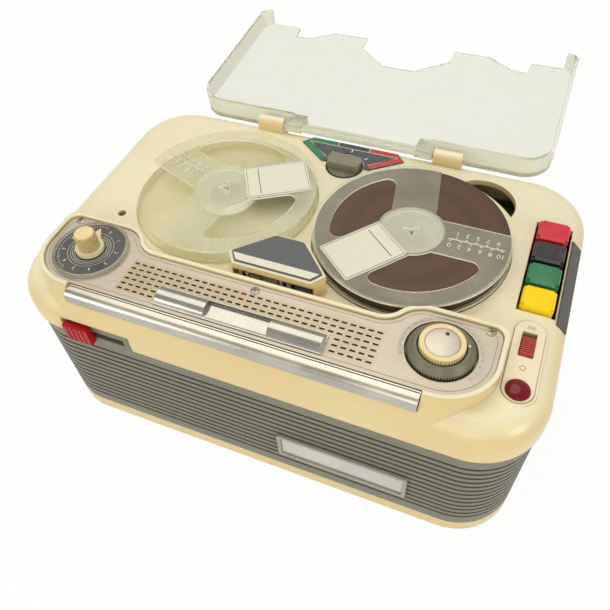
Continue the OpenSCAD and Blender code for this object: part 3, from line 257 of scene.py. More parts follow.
# Turned brass gives a warm yellow
brass = metal("turned_brass", "#C6A45E", "#A98A49", 0.24, 0.38)
wear("front_panel", finish=panel_sheet)
wear("grip_trim", finish=chrome)
wear("carry_handle", finish=bar_metal)
wear("volume_cap", finish=cap_metal)
wear("badge_plate", finish=satin)
wear("base_screws", "chassis_screws", "hinge_pins", "key_rod", "capstan", "tape_guides", "motor_pulley",
     finish=bright_steel)
wear("left_spindle", "right_spindle", finish=dull_steel)
wear("panel_screws", "chassis_plate", "pinch_arm", "volume_pot", "record_head", "erase_head", finish=zinc)
wear("spindle_bushes", "capstan_bearing", finish=brass)

# %% [markdown]
# Knobs, keys and small mouldings are solid coloured plastic with a polished skin: urea for the keys, phenolic
# for the dark ones. Handling has worn them paler and duller in patches. On the fluted knobs painted shade
# darkens the hollows between the flutes, found by ambient occlusion. One function makes them all, since only
# the colour, the gloss and the painted shade differ.

# %% Mouldings
WEAR_PATCH = 8


def moulding(name, colour, worn, rough=0.25, ior=1.5, radius=0.6, darkening=None):
    finish, tree, skin = new_finish(name)
    place = add(tree, "TexCoord")
    slow = add(tree, "TexNoise", {"Vector": place.outputs["Object"], "Scale": per_mm(WEAR_PATCH),
                                  "Detail": 4.0})
    patch = add(tree, "MapRange", {0: slow.outputs["Fac"], 1: 0.4, 2: 0.75, 3: 0.0, 4: 0.7})
    tone = add(tree, "Mix", {0: patch.outputs[0], 6: paint(colour), 7: paint(worn)}, data_type="RGBA")
    if darkening:
        # Painted shade: ambient occlusion darkens the hollows between the flutes
        occlusion = add(tree, "AmbientOcclusion", {"Distance": 1.0 * MM}, samples=6)
        flute_shade = add(tree, "MapRange", {0: occlusion.outputs["AO"], 1: 0.45, 2: 0.85, 3: 0.9, 4: 0.0})
        tone = add(tree, "Mix", {0: flute_shade.outputs[0], 6: tone.outputs[2], 7: paint(darkening)}, data_type="RGBA")
    tree.links.new(tone.outputs[2], skin.inputs["Base Color"])
    grade = add(tree, "MapRange", {0: slow.outputs["Fac"], 1: 0.3, 2: 0.7, 3: rough, 4: rough + 0.12})
    tree.links.new(grade.outputs[0], skin.inputs["Roughness"])
    skin.inputs["IOR"].default_value = ior
    grain = add(tree, "TexNoise", {"Vector": place.outputs["Object"], "Scale": per_mm(0.5), "Detail": 2.0})
    edge = add(tree, "Bevel", {"Radius": radius * MM}, samples=4)
    bump = add(tree, "Bump", {"Strength": 0.02, "Distance": 0.2 * MM, "Height": grain.outputs["Fac"],
                              "Normal": edge.outputs[0]})
    tree.links.new(bump.outputs[0], skin.inputs["Normal"])
    return finish


print("patches of wear in mm:", WEAR_PATCH)

# %% [markdown]
# Which moulding is where, starting with what the fingers press. Edge radii are in millimetres.

# %% Keys and sliders
# Hard urea gives clear colours and small sharp highlights
for key, colour_name, colour, worn, ior in (("key_record", "red", "#CE2238", "#D63A48", 1.56),
                                            ("key_stop", "black", "#22262A", "#33373B", 1.56),
                                            ("key_play", "green", "#17744A", "#2A8059", 1.56),
                                            ("key_rewind", "yellow", "#FCD800", "#FAD808", 1.32)):
    wear(key, finish=moulding("moulded_urea_" + colour_name, colour, worn, rough=0.16, ior=ior))
# Satin vinyl gives an even dark grey
vinyl = moulding("satin_vinyl_dark_grey", "#4B4B48", "#5A5A56", rough=0.4)
wear("key_strip", finish=vinyl)
# Polystyrene gives a full red with a soft gleam
switch_red = moulding("moulded_polystyrene_red", "#B8332C", "#C24A40", rough=0.3, ior=1.59, radius=0.3)
bright_red = moulding("moulded_polystyrene_bright_red", "#AE0511", "#B40F18", rough=0.3, ior=1.3, radius=0.4)
wear("switch_slider", finish=switch_red)
wear("power_slider", finish=bright_red)

# %% [markdown]
# The knobs are of phenolic and of old urea.

# %% Knobs
# Phenolic gives dull greys; the fluted ring is dark, with painted shade between its flutes
olive_phenolic = moulding("moulded_phenolic_olive_grey", "#6C6855", "#7D7864", rough=0.34, radius=0.3,
                          darkening="#2B2921")
grey_phenolic = moulding("moulded_phenolic_grey", "#7D7A67", "#8C8977", rough=0.32)
# Old urea gives a yellowed ivory with painted brown shade in the flutes, paler on the pointer
old_ivory = moulding("moulded_urea_old_ivory", "#E8D49C", "#EEDFB4", rough=0.28, ior=1.56, radius=0.3,
                     darkening="#A98F55")
pale_ivory = moulding("moulded_urea_pale_ivory", "#DDD4B2", "#E6DFC6", rough=0.26, ior=1.56, radius=0.5)
wear("tone_ring", finish=olive_phenolic)
wear("speed_knob", finish=grey_phenolic)
wear("volume_knob", "dial_knob", finish=old_ivory)
wear("dial_pointer", finish=pale_ivory)

# %% [markdown]
# The dark plates are slate grey under lacquer, and the badge has a grey frame.

# %% Plates and the badge's frame
# Lacquer gives slate a smooth, faint gloss
slate_plate = moulding("lacquered_slate_plate", "#43484F", "#545960", rough=0.22, radius=0.2)
slate_dial = moulding("lacquered_slate_dial", "#43474A", "#505457", rough=0.3, radius=0.2)
# Polystyrene in pale grey gives a frame between the band's grey and the plate's silver
frame_grey = moulding("moulded_polystyrene_frame_grey", "#9B9B90", "#ABABA0", rough=0.36)
wear("head_plate", "speed_plate", finish=slate_plate)
wear("dial_face", finish=slate_dial)
wear("badge_frame", finish=frame_grey)

# %% [markdown]
# The sockets at the back and the parts inside are seldom seen. Each has the colour and the gloss of its
# own material.

# %% Sockets and the parts inside
# Phenolic in dark brown gives a near black with a gloss
dark_phenolic = moulding("moulded_phenolic_dark_brown", "#2E2621", "#41362E", ior=1.6)
# Enamel gives a cool grey with a half gloss
enamel = moulding("hammered_enamel_grey", "#5F6365", "#75797B", rough=0.35)
# Paper soaked in phenolic gives a dull brown
board_paper = moulding("phenolic_paper_board", "#8A6233", "#9C7645", rough=0.4, ior=1.55)
# Pulp gives a black without any shine
pulp_cone = moulding("pulp_paper_cone_black", "#2E2D2B", "#3D3B38", rough=0.75)
# Chloroprene rubber gives a black with a broad dim shine
rubber = moulding("chloroprene_rubber_black", "#242321", "#33312E", rough=0.6)
wear("mains_inlet", "audio_sockets", finish=dark_phenolic)
wear("motor", "transformer", finish=enamel)
wear("amplifier_board", finish=board_paper)
wear("speaker", finish=pulp_cone)
wear("drive_belt", "pinch_roller", finish=rubber)

# %% [markdown]
# Clear parts: the reels are polystyrene with a faint green-grey cast, the lid is acrylic, hazed by years
# of cloths, and the valves are glass. A clear sheet shows its cut edges white, because light gathers
# there, so faces that stand upright take some white. The haze is a little diffuse white, mixed in by slow
# noise. The solid hub of a reel is milkier than its thin flanges. Shadow rays pass straight through and
# meet only part of the haze, so that what lies under a clear part isn't left dark.

# %% Clear plastics and glass
HUB_R, HUB_SOFT, HUB_MILK = 18.0 * MM, 0.5 * MM, 0.42
HAZE_IN_SHADOW = 0.25


def clear(name, tint, ior, haze, rough, edge_white=0.0, mist_colour="#F4F2E8", hub=None):
    finish, tree, skin = new_finish(name)
    place = add(tree, "TexCoord")
    faces = add(tree, "NewGeometry")
    up = add(tree, "SeparateXYZ", {0: faces.outputs["Normal"]})
    flat = add(tree, "Math", {0: up.outputs["Z"]}, operation="ABSOLUTE")
    upright = add(tree, "MapRange", {0: flat.outputs[0], 1: 0.35, 2: 0.75, 3: edge_white, 4: 0.0})
    slow = add(tree, "TexNoise", {"Vector": place.outputs["Object"], "Scale": per_mm(30), "Detail": 5.0})
    mist = add(tree, "MapRange", {0: slow.outputs["Fac"], 1: 0.3, 2: 0.75, 3: haze * 0.7, 4: haze * 1.3})
    veil = add(tree, "Math", {0: mist.outputs[0], 1: upright.outputs[0]}, operation="ADD", use_clamp=True)
    if hub:
        to_hub = (-hub[0] * MM, -hub[1] * MM, 0.0)
        spot = add(tree, "Mapping", {"Vector": place.outputs["Object"], "Location": to_hub})
        flat_spot = add(tree, "VectorMath", {0: spot.outputs[0], 1: (1.0, 1.0, 0.0)}, operation="MULTIPLY")
        away = add(tree, "VectorMath", {0: flat_spot.outputs[0]}, operation="LENGTH")
        thick = add(tree, "MapRange", {0: away.outputs["Value"], 1: HUB_R + HUB_SOFT, 2: HUB_R - HUB_SOFT,
                                       3: 0.0, 4: HUB_MILK})
        veil = add(tree, "Math", {0: veil.outputs[0], 1: thick.outputs[0]}, operation="ADD", use_clamp=True)
    skin.inputs["Base Color"].default_value = paint(tint)
    skin.inputs["Transmission Weight"].default_value = 1.0
    skin.inputs["IOR"].default_value = ior
    grade = add(tree, "MapRange", {0: slow.outputs["Fac"], 1: 0.3, 2: 0.7, 3: rough, 4: rough + 0.08})
    tree.links.new(grade.outputs[0], skin.inputs["Roughness"])
    cloud = add(tree, "Mix", {0: upright.outputs[0], 6: paint(mist_colour), 7: paint("#FAF9F2")},
                data_type="RGBA")
    white = add(tree, "BsdfDiffuse", {"Color": cloud.outputs[2]})
    pass_on = add(tree, "BsdfTransparent", {"Color": paint(tint)})
    ray = add(tree, "LightPath")
    in_shadow = ray.outputs["Is Shadow Ray"]
    body = add(tree, "MixShader", {0: in_shadow, 1: skin.outputs[0], 2: pass_on.outputs[0]})
    dimmed = add(tree, "MapRange", {0: in_shadow, 1: 0.0, 2: 1.0, 3: 1.0, 4: HAZE_IN_SHADOW})
    veil = add(tree, "Math", {0: veil.outputs[0], 1: dimmed.outputs[0]}, operation="MULTIPLY")
    result = add(tree, "MixShader", {0: veil.outputs[0], 1: body.outputs[0], 2: white.outputs[0]})
    tree.links.new(result.outputs[0], tree.nodes["Material Output"].inputs["Surface"])
    return finish


# Polystyrene gives the reels a grey-green veil, white edges and a milky hub
for side, haze in (("left", 0.28), ("right", 0.32)):
    reel_clear = clear("clear_polystyrene_reel_" + side, "#F3F1E4", ior=1.25, haze=haze, rough=0.06,
                       edge_white=0.9, mist_colour="#D3D6C6", hub=middle_mm(side + "_reel"))
    wear(side + "_reel", finish=reel_clear)
# Acrylic gives a thin grey haze that lets the floor through
lid_clear = clear("clear_acrylic_lid", "#EDEFE6", ior=1.25, haze=0.12, rough=0.05, edge_white=0.3,
                  mist_colour="#E3E4D8")
bezel_clear = clear("clear_acrylic_bezel", "#F4F2EA", ior=1.3, haze=0.3, rough=0.04, edge_white=0.1,
                    mist_colour="#E6E1D2")
# Glass gives the valves bright outlines and little else
valve_glass = clear("blown_glass_valve", "#F4F7F4", ior=1.4, haze=0.05, rough=0.03)
# Cast acrylic in deep red gives the unlit lamp a dark jewel with one bright glint
jewel_red = moulding("cast_acrylic_jewel_red", "#6A0717", "#7C0E1E", rough=0.06, ior=1.4, radius=0.4)
wear("lid", finish=lid_clear)
wear("dial_bezel", finish=bezel_clear)
wear("valves", finish=valve_glass)
wear("jewel_lamp", finish=jewel_red)

# %% [markdown]
# Paper and tape. The labels are white paper, matt and uneven. The tape is brown oxide on film, wound so
# tightly that its edge is a flat disc of fine rings: a ring wave about the reel's axis gives them. Real
# turns are 0.05 mm apart, so the rings are drawn about 1.4 mm apart to show at all, with broad ones of
# about 18 mm over them. The wave node fits 20 / (2 pi) rings into one unit.

# %% Paper labels and the wound tape
def paper():
    finish, tree, skin = new_finish("uncoated_paper_label")
    place = add(tree, "TexCoord")
    pulp = add(tree, "TexNoise", {"Vector": place.outputs["Object"], "Scale": per_mm(1.2), "Detail": 6.0})
    tone = add(tree, "Mix", {0: pulp.outputs["Fac"], 6: paint("#E9E8D9"), 7: paint("#DCDAC9")},
               data_type="RGBA")
    tree.links.new(tone.outputs[2], skin.inputs["Base Color"])
    skin.inputs["Roughness"].default_value = 0.7
    bump = add(tree, "Bump", {"Strength": 0.08, "Distance": 0.1 * MM, "Height": pulp.outputs["Fac"]})
    tree.links.new(bump.outputs[0], skin.inputs["Normal"])
    return finish


RING_UNIT = 2 * math.pi / 20
FINE_RING, BROAD_RING = 1.381, 17.756


def wound_tape(axis):
    finish, tree, skin = new_finish("brown_oxide_tape_wound")
    place = add(tree, "TexCoord")
    to_axis = (-axis.x, -axis.y, 0.0)
    centred = add(tree, "Mapping", {"Vector": place.outputs["Object"], "Location": to_axis})
    turns = add(tree, "TexWave", {"Vector": centred.outputs[0], "Scale": RING_UNIT * per_mm(FINE_RING),
                                  "Distortion": 0.4, "Detail": 1.0}, wave_type="RINGS", rings_direction="Z")
    broad = add(tree, "TexWave", {"Vector": centred.outputs[0], "Scale": RING_UNIT * per_mm(BROAD_RING),
                                  "Distortion": 2.0}, wave_type="RINGS", rings_direction="Z")
    mixed = add(tree, "Mix", {0: 0.5, 2: turns.outputs["Fac"], 3: broad.outputs["Fac"]})
    tone = add(tree, "Mix", {0: mixed.outputs[0], 6: paint("#3E2310"), 7: paint("#573519")}, data_type="RGBA")
    tree.links.new(tone.outputs[2], skin.inputs["Base Color"])
    skin.inputs["Roughness"].default_value = 0.45
    bump = add(tree, "Bump", {"Strength": 0.15, "Distance": 0.1 * MM, "Height": turns.outputs["Fac"]})
    tree.links.new(bump.outputs[0], skin.inputs["Normal"])
    return finish


wear("left_label", "right_label", finish=paper())
low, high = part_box("tape_pack")
wear("tape_pack", finish=wound_tape((low + high) / 2))

# %% [markdown]
# Prints and engraving are far thinner than any solid: white figures on the dial, a scale round the tone
# ring, a line round the panel, the comb scale on the reels. They are drawn as flat sheets of ink about a
# tenth of a millimetre or less above the surface that carries them. On the domed volume cap and screw
# heads a flat sheet stands up to a third of a millimetre clear at its edge. The ink of one print is one
# mesh, so that it stays one piece and rides on one body. Ink is printed by screen, so its edge is crisp
# and its film slightly uneven.

# %% Inks
def ink(name, colour, worn, rough=0.5):
    finish, tree, skin = new_finish(name)
    place = add(tree, "TexCoord")
    film = add(tree, "TexNoise", {"Vector": place.outputs["Object"], "Scale": per_mm(1.5), "Detail": 3.0})
    tone = add(tree, "Mix", {0: film.outputs["Fac"], 6: paint(colour), 7: paint(worn)}, data_type="RGBA")
    tree.links.new(tone.outputs[2], skin.inputs["Base Color"])
    skin.inputs["Roughness"].default_value = rough
    return finish


# Screen ink gives a flat, opaque film
white_ink = ink("screen_ink_white", "#EFEDE2", "#D8D5C6")
black_ink = ink("screen_ink_black", "#232323", "#33322F")
olive_ink = ink("screen_ink_olive", "#8F8250", "#A5986A")
# Engraving gives a fine line a little darker than the sheet, or a band a little paler
grey_ink = ink("engraved_line_grey", "#7D776C", "#989184")
scale_silver = ink("engraved_scale_silver", "#CDC6B8", "#BDB5A6", rough=0.4)
# Lacquer gives a full colour with some gloss
green_ink = ink("lacquer_green", "#1E7A4E", "#2B8259", rough=0.3)
red_ink = ink("lacquer_red", "#BC3240", "#C54750", rough=0.3)
inks = (white_ink, black_ink, olive_ink, grey_ink, scale_silver, green_ink, red_ink)
print("inks:", ", ".join(finish.name for finish in inks))

# %% [markdown]
# The drawing tools: a filled sheet, a stroke along points, points on an arc and on a ray, a figure, and
# the step that turns what was drawn into a piece and lets it ride on a body.

# %% Drawing tools
LIFT = 0.06 * MM


def sheet_of(shape, points, height):
    shape.faces.new([shape.verts.new((x * MM, y * MM, height)) for x, y in points])


def stroke(shape, points, width, height, closed=False):
    count = len(points)
    sides = []
    for i, (x, y) in enumerate(points):
        before = points[i - 1] if closed or i else points[i]
        after = points[(i + 1) % count] if closed or i < count - 1 else points[i]
        along = Vector((after[0] - before[0], after[1] - before[1])).normalized()
        across = Vector((-along.y, along.x)) * width / 2
        sides.append(((x + across.x, y + across.y), (x - across.x, y - across.y)))
    for i in range(count if closed else count - 1):
        a, b = sides[i], sides[(i + 1) % count]
        sheet_of(shape, [a[0], a[1], b[1], b[0]], height)


def arc(middle, radius, start, end, steps=48):
    turns = [math.radians(start + (end - start) * i / steps) for i in range(steps + 1)]
    return [(middle[0] + radius * math.cos(t), middle[1] + radius * math.sin(t)) for t in turns]


def ray_line(middle, angle, inner, outer):
    return [arc(middle, radius, angle, angle, 1)[0] for radius in (inner, outer)]


def figure(shape, text, x, y, size, turn, height):
    curve = bpy.data.curves.new("figure", "FONT")
    curve.body, curve.size, curve.align_x, curve.align_y = text, size * MM, "CENTER", "CENTER"
    thing = bpy.data.objects.new("figure", curve)
    scene.collection.objects.link(thing)
    bpy.context.view_layer.update()
    flat = bpy.data.meshes.new_from_object(thing)
    flat.transform(Matrix.Translation((x * MM, y * MM, height)) @ Matrix.Rotation(math.radians(turn), 4, "Z"))
    shape.from_mesh(flat)
    bpy.data.objects.remove(thing)
    bpy.data.meshes.remove(flat)


def lay(name, shape, finish, body):
    mesh = bpy.data.meshes.new(name)
    shape.normal_update()
    for face in shape.faces:
        if face.normal.z < 0:
            face.normal_flip()
    shape.to_mesh(mesh)
    shape.free()
    piece = bpy.data.objects.new(name, mesh)
    mesh.materials.append(finish)
    scene.collection.objects.link(piece)
    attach(piece, body)
    print(name, len(mesh.polygons), "faces on", body)


print("prints lie", LIFT / MM, "mm above what carries them")

# %% [markdown]
# The dial: a slate disc with the figures 0 to 9 going clockwise from behind, four fine rings round the
# knob and a row of ticks along its left side. From here on places and sizes are in millimetres, turns in
# degrees, and a place is taken from the frame where a solid has it.

# %% Dial figures
dial = middle_mm("dial_face")
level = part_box("dial_face")[1].z + LIFT
ring_radii = (9.0, 10.0, 11.1, 12.7)
tick_count, first_tick, tick_step = 32, 92, 5
long_tick, short_tick, tick_end = 16.6, 17.2, 18.5
first_figure, figure_step, figure_radius = 78, 34.3, 15.0
marks = bmesh.new()
for radius in ring_radii:
    stroke(marks, arc(dial, radius, 0, 360, steps=72)[:-1], width=0.2, height=level, closed=True)
for i in range(tick_count):
    inner = long_tick if i % 5 == 0 else short_tick
    stroke(marks, ray_line(dial, first_tick + tick_step * i, inner, tick_end), width=0.28, height=level)
for i in range(10):
    turn = first_figure - figure_step * i
    x, y = arc(dial, figure_radius, turn, turn, steps=1)[0]
    figure(marks, str(i), x, y, size=3.0, turn=turn - 90, height=level)
lay("dial_figures", marks, white_ink, "case")

# %% [markdown]
# Round the tone ring runs a silver band over 240 degrees, with fine ticks across it.

# %% Tone scale
knob = middle_mm("tone_ring")
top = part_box("front_panel")[1].z + LIFT
band_start, band_end, band_radius = 205, -35, 19.2
tick_count, first_tick, tick_step = 21, 203, 11.8
tick_start, tick_end = 18.4, 19.6
marks = bmesh.new()
stroke(marks, arc(knob, band_radius, band_start, band_end, steps=60), width=2.0, height=top)
lay("tone_scale", marks, scale_silver, "case")
marks = bmesh.new()
for i in range(tick_count):
    tick = ray_line(knob, first_tick - tick_step * i, tick_start, tick_end)
    stroke(marks, tick, width=0.25, height=top + LIFT)
lay("tone_ticks", marks, grey_ink, "case")

# %% [markdown]
# A line is engraved all round the panel, a little inside its edge. It follows the same curve as the
# sheet: straight in the middle, an S up to each end, a small corner at the back and a round end at the
# front. The curve is worked out for the right half, about the panel's middle, and mirrored.

# %% Engraved line of the panel
panel_low, panel_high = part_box("front_panel")
panel_middle = middle_mm("front_panel")[0]
panel_half = round((panel_high.x - panel_low.x) / 2 / MM, 1)
panel_front, panel_back = round(panel_low.y / MM, 1), round(panel_high.y / MM, 1)
control_x, control_y = (knob[0] - dial[0]) / 2, knob[1]
bend_start, bend_end, straight_back = 63.0, 88.0, -52.0
corner_r, line_inset = 6.0, 2.2


def panel_edge(grow):
    bend = 2 * math.atan((panel_back - straight_back) / (bend_end - bend_start))
    r = (bend_end - bend_start) / (2 * math.sin(bend))
    bends = [bend * k / 12 for k in range(13)]
    corners = [math.pi * k / 16 for k in range(9)]
    ends = [math.pi * k / 48 for k in range(25)]
    corner_x, corner_y = panel_half + grow - corner_r, panel_back + grow - corner_r
    reach_x, reach_y = panel_half - control_x + grow, control_y - panel_front + grow
    side = [(bend_start + (r - grow) * math.sin(t), straight_back + r - (r - grow) * math.cos(t))
            for t in bends]
    side += [(bend_end - (r + grow) * math.sin(t), panel_back - r + (r + grow) * math.cos(t))
             for t in reversed(bends[:-1])]
    side += [(corner_x + corner_r * math.sin(t), corner_y + corner_r * math.cos(t)) for t in corners]
    side += [(control_x + reach_x * math.cos(t), control_y - reach_y * math.sin(t)) for t in ends]
    return [(x + panel_middle, y) for x, y in side + [(-x, y) for x, y in reversed(side)]]


marks = bmesh.new()
stroke(marks, panel_edge(-line_inset), width=0.28, height=top, closed=True)
lay("panel_line", marks, grey_ink, "case")

# %% [markdown]
# The speed selector's plate has a rim in three parts, green at the left, bare slate in the middle and red
# at the right, with white lines between them and three white ticks round the knob. The left part is drawn
# and mirrored.

# %% Speed plate colours
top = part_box("speed_plate")[1].z + LIFT
selector = middle_mm("speed_knob")
part_x, rim_inner, rim_outer = -10.5, 81.2, 85.3
foot, shoulder = (-13.8, 68.8), (-29.8, rim_inner)
rim = [(-34.2, 79.2), (-16.6, 65.6), foot, shoulder, (part_x, rim_inner), (part_x, rim_outer),
       (-28.3, rim_outer)]
for name, finish, way in (("speed_rim_left", green_ink, 1), ("speed_rim_right", red_ink, -1)):
    marks = bmesh.new()
    sheet_of(marks, [(way * x, y) for x, y in rim], top)
    lay(name, marks, finish, "case")
marks = bmesh.new()
stroke(marks, [foot, shoulder] + [(-x, y) for x, y in (shoulder, foot)], width=0.45, height=top + LIFT)
for x in (part_x, -part_x):
    stroke(marks, [(x, rim_inner), (x, rim_outer)], width=0.45, height=top + LIFT)
for turn in (138, 90, 42):
    stroke(marks, ray_line(selector, turn, 13.4, 16.2), width=0.7, height=top + LIFT)
lay("speed_lines", marks, white_ink, "case")

# %% [markdown]
# The head cover's plate is slate grey with a bare white band along its front edge.

# %% Head plate band
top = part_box("head_plate")[1].z + LIFT
band_front, band_back = -42.3, -37.6
marks = bmesh.new()
sheet_of(marks, [(-22.6, band_front), (19.7, band_front), (23.2, band_back), (-26.2, band_back)], top)
lay("head_plate_band", marks, white_ink, "case")

# %% [markdown]
# Reels: the paper labels have a thin border and one rule line near the hub. One spoke carries a comb
# scale with figures that tell how much tape is left. Both are drawn along X from the reel's axis and
# turned into place.

# %% Reel prints
label_near, label_far, label_half = -13.4, -49.2, 13.3
rule_x, rule_half = -20.5, 11.5
border = [(label_far, -label_half), (label_near, -label_half), (label_near, label_half),
          (label_far, label_half)]
scale_start, tooth_pitch, tooth_length, figure_out = 22.0, 2.75, 1.6, 4.64
LABEL_TO_SPOKE = 50.0


def turned(middle, spin, x, y):
    cos, sin = math.cos(spin), math.sin(spin)
    return (middle[0] + x * cos - y * sin, middle[1] + x * sin + y * cos)


for side, angle in (("left", -150.0), ("right", 50.0)):
    body = side + "_reel_body"
    axis = middle_mm(side + "_reel")
    label = math.radians(angle)
    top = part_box(side + "_label")[1].z + LIFT
    marks = bmesh.new()
    stroke(marks, [turned(axis, label, x, y) for x, y in border], width=0.34, height=top, closed=True)
    stroke(marks, [turned(axis, label, rule_x, y) for y in (-rule_half, rule_half)], width=0.4, height=top)
    lay(side + "_label_lines", marks, black_ink, body)
    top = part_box(side + "_reel")[1].z + LIFT
    spoke = math.radians(angle - LABEL_TO_SPOKE)
    marks = bmesh.new()
    for i in range(11):
        x = scale_start + tooth_pitch * i
        way = 1 if i % 2 else -1
        ends = (x - tooth_pitch / 2, x + tooth_pitch / 2)
        stroke(marks, [turned(axis, spoke, x, y) for y in (0, way * tooth_length)], width=0.85, height=top)
        stroke(marks, [turned(axis, spoke, end, 0) for end in ends], width=0.7, height=top)
        figure_x, figure_y = turned(axis, spoke, x, way * figure_out)
        figure(marks, str(i), figure_x, figure_y, size=4.4, turn=math.degrees(spoke) + 180, height=top)
    lay(side + "_scale", marks, white_ink, body)

# %% [markdown]
# The small marks come last. On the two knobs they are a black dot on the domed volume cap, set below the
# top of the dome, and a white dot on the tone ring.

# %% Dots on the knobs
dot_depth = 0.1 * MM
dot_middle, dot_radius = (knob[0] + 0.9, knob[1] + 4.9), 0.95
marks = bmesh.new()
sheet_of(marks, arc(dot_middle, dot_radius, 0, 360, steps=20)[:-1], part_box("volume_cap")[1].z - dot_depth)
lay("volume_dot", marks, black_ink, "volume")
dot_middle, dot_radius = (knob[0] + 11.9, knob[1] + 3.8), 0.62
marks = bmesh.new()
sheet_of(marks, arc(dot_middle, dot_radius, 0, 360, steps=20)[:-1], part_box("tone_ring")[1].z + LIFT)
lay("tone_dot", marks, white_ink, "tone_ring")

# %% [markdown]
# The panel's three screws have cross slots and the handle bar has a groove along it, each drawn as black ink
# for the painted shade in it. Beside the switch there are two plain signs: a row of short lines and a ring.

# %% Screw slots
low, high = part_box("panel_screws")
head_r, slot_long, slot_short = 2.5, 1.6, 0.6
left_x, right_x = round(low.x / MM, 1) + head_r, round(high.x / MM, 1) - head_r
front_y, back_y = round(low.y / MM, 1) + head_r, round(high.y / MM, 1) - head_r
marks = bmesh.new()
# Painted shade: each slot is a black cross of ink standing for the shade inside it
for x, y in ((left_x, back_y), (panel_middle, front_y), (right_x, back_y)):
    for a, b in ((slot_long, slot_short), (slot_short, -slot_long)):
        stroke(marks, [(x - a, y - b), (x + a, y + b)], width=0.45, height=high.z + LIFT)
lay("screw_slot_shade", marks, black_ink, "case")

# %% Groove of the handle bar
low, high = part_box("carry_handle")
groove_y, groove_inset = -85.4, 0.3
groove_shade_line = [(round(low.x / MM, 1) + groove_inset, groove_y), (round(high.x / MM, 1) - groove_inset, groove_y)]
marks = bmesh.new()
# Painted shade: a black line stands for the shade in the bar's groove
stroke(marks, groove_shade_line, width=0.55, height=high.z + LIFT)
lay("handle_groove_shade", marks, black_ink, "carry_handle")

# %% Signs beside the switch
switch = middle_mm("switch_plate")
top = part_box("switch_plate")[1].z + LIFT
line_pitch, lines_front, lines_back, ring_front = 0.8, 18.8, 21.0, 5.2
marks = bmesh.new()
for i in range(-2, 3):
    x = switch[0] + line_pitch * i
    stroke(marks, [(x, switch[1] + lines_front), (x, switch[1] + lines_back)], width=0.3, height=top)
ring = arc((switch[0], switch[1] - ring_front), 1.3, 0, 360, steps=24)[:-1]
stroke(marks, ring, width=0.35, height=top, closed=True)
lay("switch_signs", marks, olive_ink, "case")

# %% [markdown]
# The studio starts with the camera. Its place, turn and lens were worked out from the photograph's
# perspective: the three vectors are the camera's own axes.

# %% Camera
eye = Vector((0.1086, -0.2368, 0.3644))
to_right = Vector((0.9256, 0.3753, -0.0488))
to_top = Vector((-0.2623, 0.7292, 0.6320))
to_back = Vector((0.2728, -0.5722, 0.7734))
lens = bpy.data.cameras.new("studio_camera")
lens.lens, lens.sensor_width, lens.clip_start = 37.22, 36.0, 0.01
camera = bpy.data.objects.new("studio_camera", lens)
scene.collection.objects.link(camera)
camera.matrix_world = Matrix.Translation(eye) @ Matrix((to_right, to_top, to_back)).transposed().to_4x4()
scene.camera = camera
print("camera at", [round(v, 3) for v in camera.location], "lens", lens.lens)

# %% [markdown]
# The floor is a sweep of matt white paper. To the camera, in reflections and through clear plastic it
# shows nearly pure white, as in the photograph, so a share of glow is mixed in for those rays alone.

# %% Floor
floor_size, floor_drop, glow_share = 8.0, 0.2 * MM, 0.95
bpy.ops.mesh.primitive_plane_add(size=floor_size, location=(0.0, 0.0, -floor_drop))
floor = bpy.context.object
floor.name = "studio_floor"
floor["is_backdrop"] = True
floor_paper, tree, skin = new_finish("white_sweep_paper")
skin.inputs["Base Color"].default_value = paint("#F4F4F4")
skin.inputs["Roughness"].default_value = 0.9
ray = add(tree, "LightPath")
seen = add(tree, "Math", {0: ray.outputs["Is Camera Ray"], 1: ray.outputs["Is Glossy Ray"]},
           operation="MAXIMUM")
seen = add(tree, "Math", {0: seen.outputs[0], 1: ray.outputs["Is Transmission Ray"]}, operation="MAXIMUM")
share = add(tree, "Math", {0: seen.outputs[0], 1: glow_share}, operation="MULTIPLY")
glow = add(tree, "Emission", {"Color": paint("#FFFFFF"), "Strength": 1.0})
mixed = add(tree, "MixShader", {0: share.outputs[0], 1: skin.outputs[0], 2: glow.outputs[0]})
tree.links.new(mixed.outputs[0], tree.nodes["Material Output"].inputs["Surface"])
floor.data.materials.append(floor_paper)
print(floor_paper.name, "on a floor of", floor_size, "m")

# %% [markdown]
# The room is pure white to the camera, dimmer in reflections and dimmer still as light, so that the lamps
# shape the recorder. For all but the camera it is a little warm.

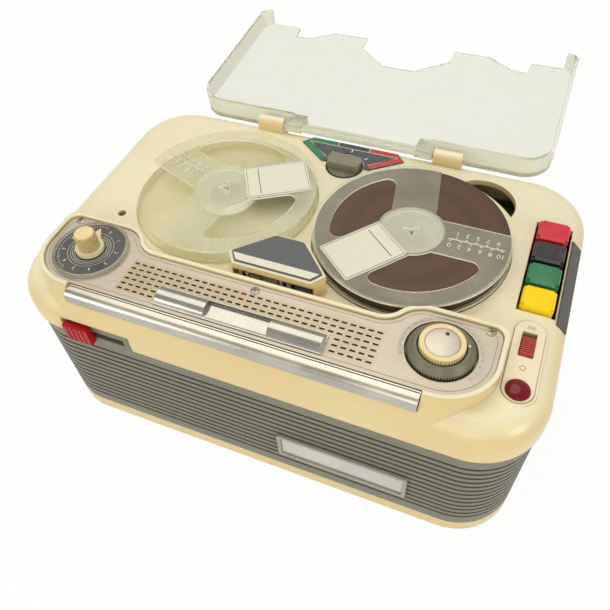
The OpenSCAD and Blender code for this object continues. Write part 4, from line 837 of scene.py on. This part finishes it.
# %% World
in_reflections, as_light = 0.62, 0.4
world = bpy.data.worlds.new("studio_world")
scene.world = world
world.use_nodes = True
tree = world.node_tree
ray = add(tree, "LightPath")
mirrored = add(tree, "Math", {0: ray.outputs["Is Glossy Ray"], 1: in_reflections}, operation="MULTIPLY")
level = add(tree, "Math", {0: ray.outputs["Is Camera Ray"], 1: mirrored.outputs[0]}, operation="MAXIMUM")
level = add(tree, "Math", {0: level.outputs[0], 1: as_light}, operation="MAXIMUM")
warm = add(tree, "Mix", {0: ray.outputs["Is Camera Ray"], 6: paint("#FFFBF0"), 7: paint("#FFFFFF")},
           data_type="RGBA")
ground = tree.nodes["Background"]
tree.links.new(warm.outputs[2], ground.inputs["Color"])
tree.links.new(level.outputs[0], ground.inputs["Strength"])
print("room light", as_light, "and", in_reflections, "in reflections")

# %% [markdown]
# Four soft lamps, all slightly warm: a large one above, one low at the front left, a small one at the
# right and one in front. The standard view transform shows the colours as they were written.

# %% Lamps
def lamp(name, place, aim, size, watts):
    data = bpy.data.lights.new(name, "AREA")
    data.shape, data.size, data.energy = "DISK", size, watts
    data.color = paint("#FFF9EC")[:3]
    thing = bpy.data.objects.new(name, data)
    thing.location = place
    thing.rotation_euler = (Vector(aim) - Vector(place)).to_track_quat("-Z", "Y").to_euler()
    scene.collection.objects.link(thing)
    print("lamp", name, watts, "W")


lamp("soft_top", place=(-0.2, 0.3, 1.1), aim=(0.0, 0.0, 0.1), size=1.3, watts=6.9)
lamp("soft_left", place=(-0.75, -0.95, 0.42), aim=(-0.05, 0.0, 0.08), size=0.6, watts=3.2)
lamp("soft_right", place=(1.0, -0.35, 0.45), aim=(0.05, 0.0, 0.08), size=0.36, watts=2.8)
lamp("soft_front", place=(0.25, -1.1, 0.6), aim=(0.0, 0.0, 0.06), size=0.7, watts=3.3)
scene.view_settings.view_transform = "Standard"

# %% [markdown]
# Last the size: the box of all that is there now, prints included. The prints are so thin that it should
# hardly differ from the box of the CAD alone.

# %% Sizes and finish
low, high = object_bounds()
print("visual box in mm:", [round(v * 1000, 1) for v in (*low, *high)])
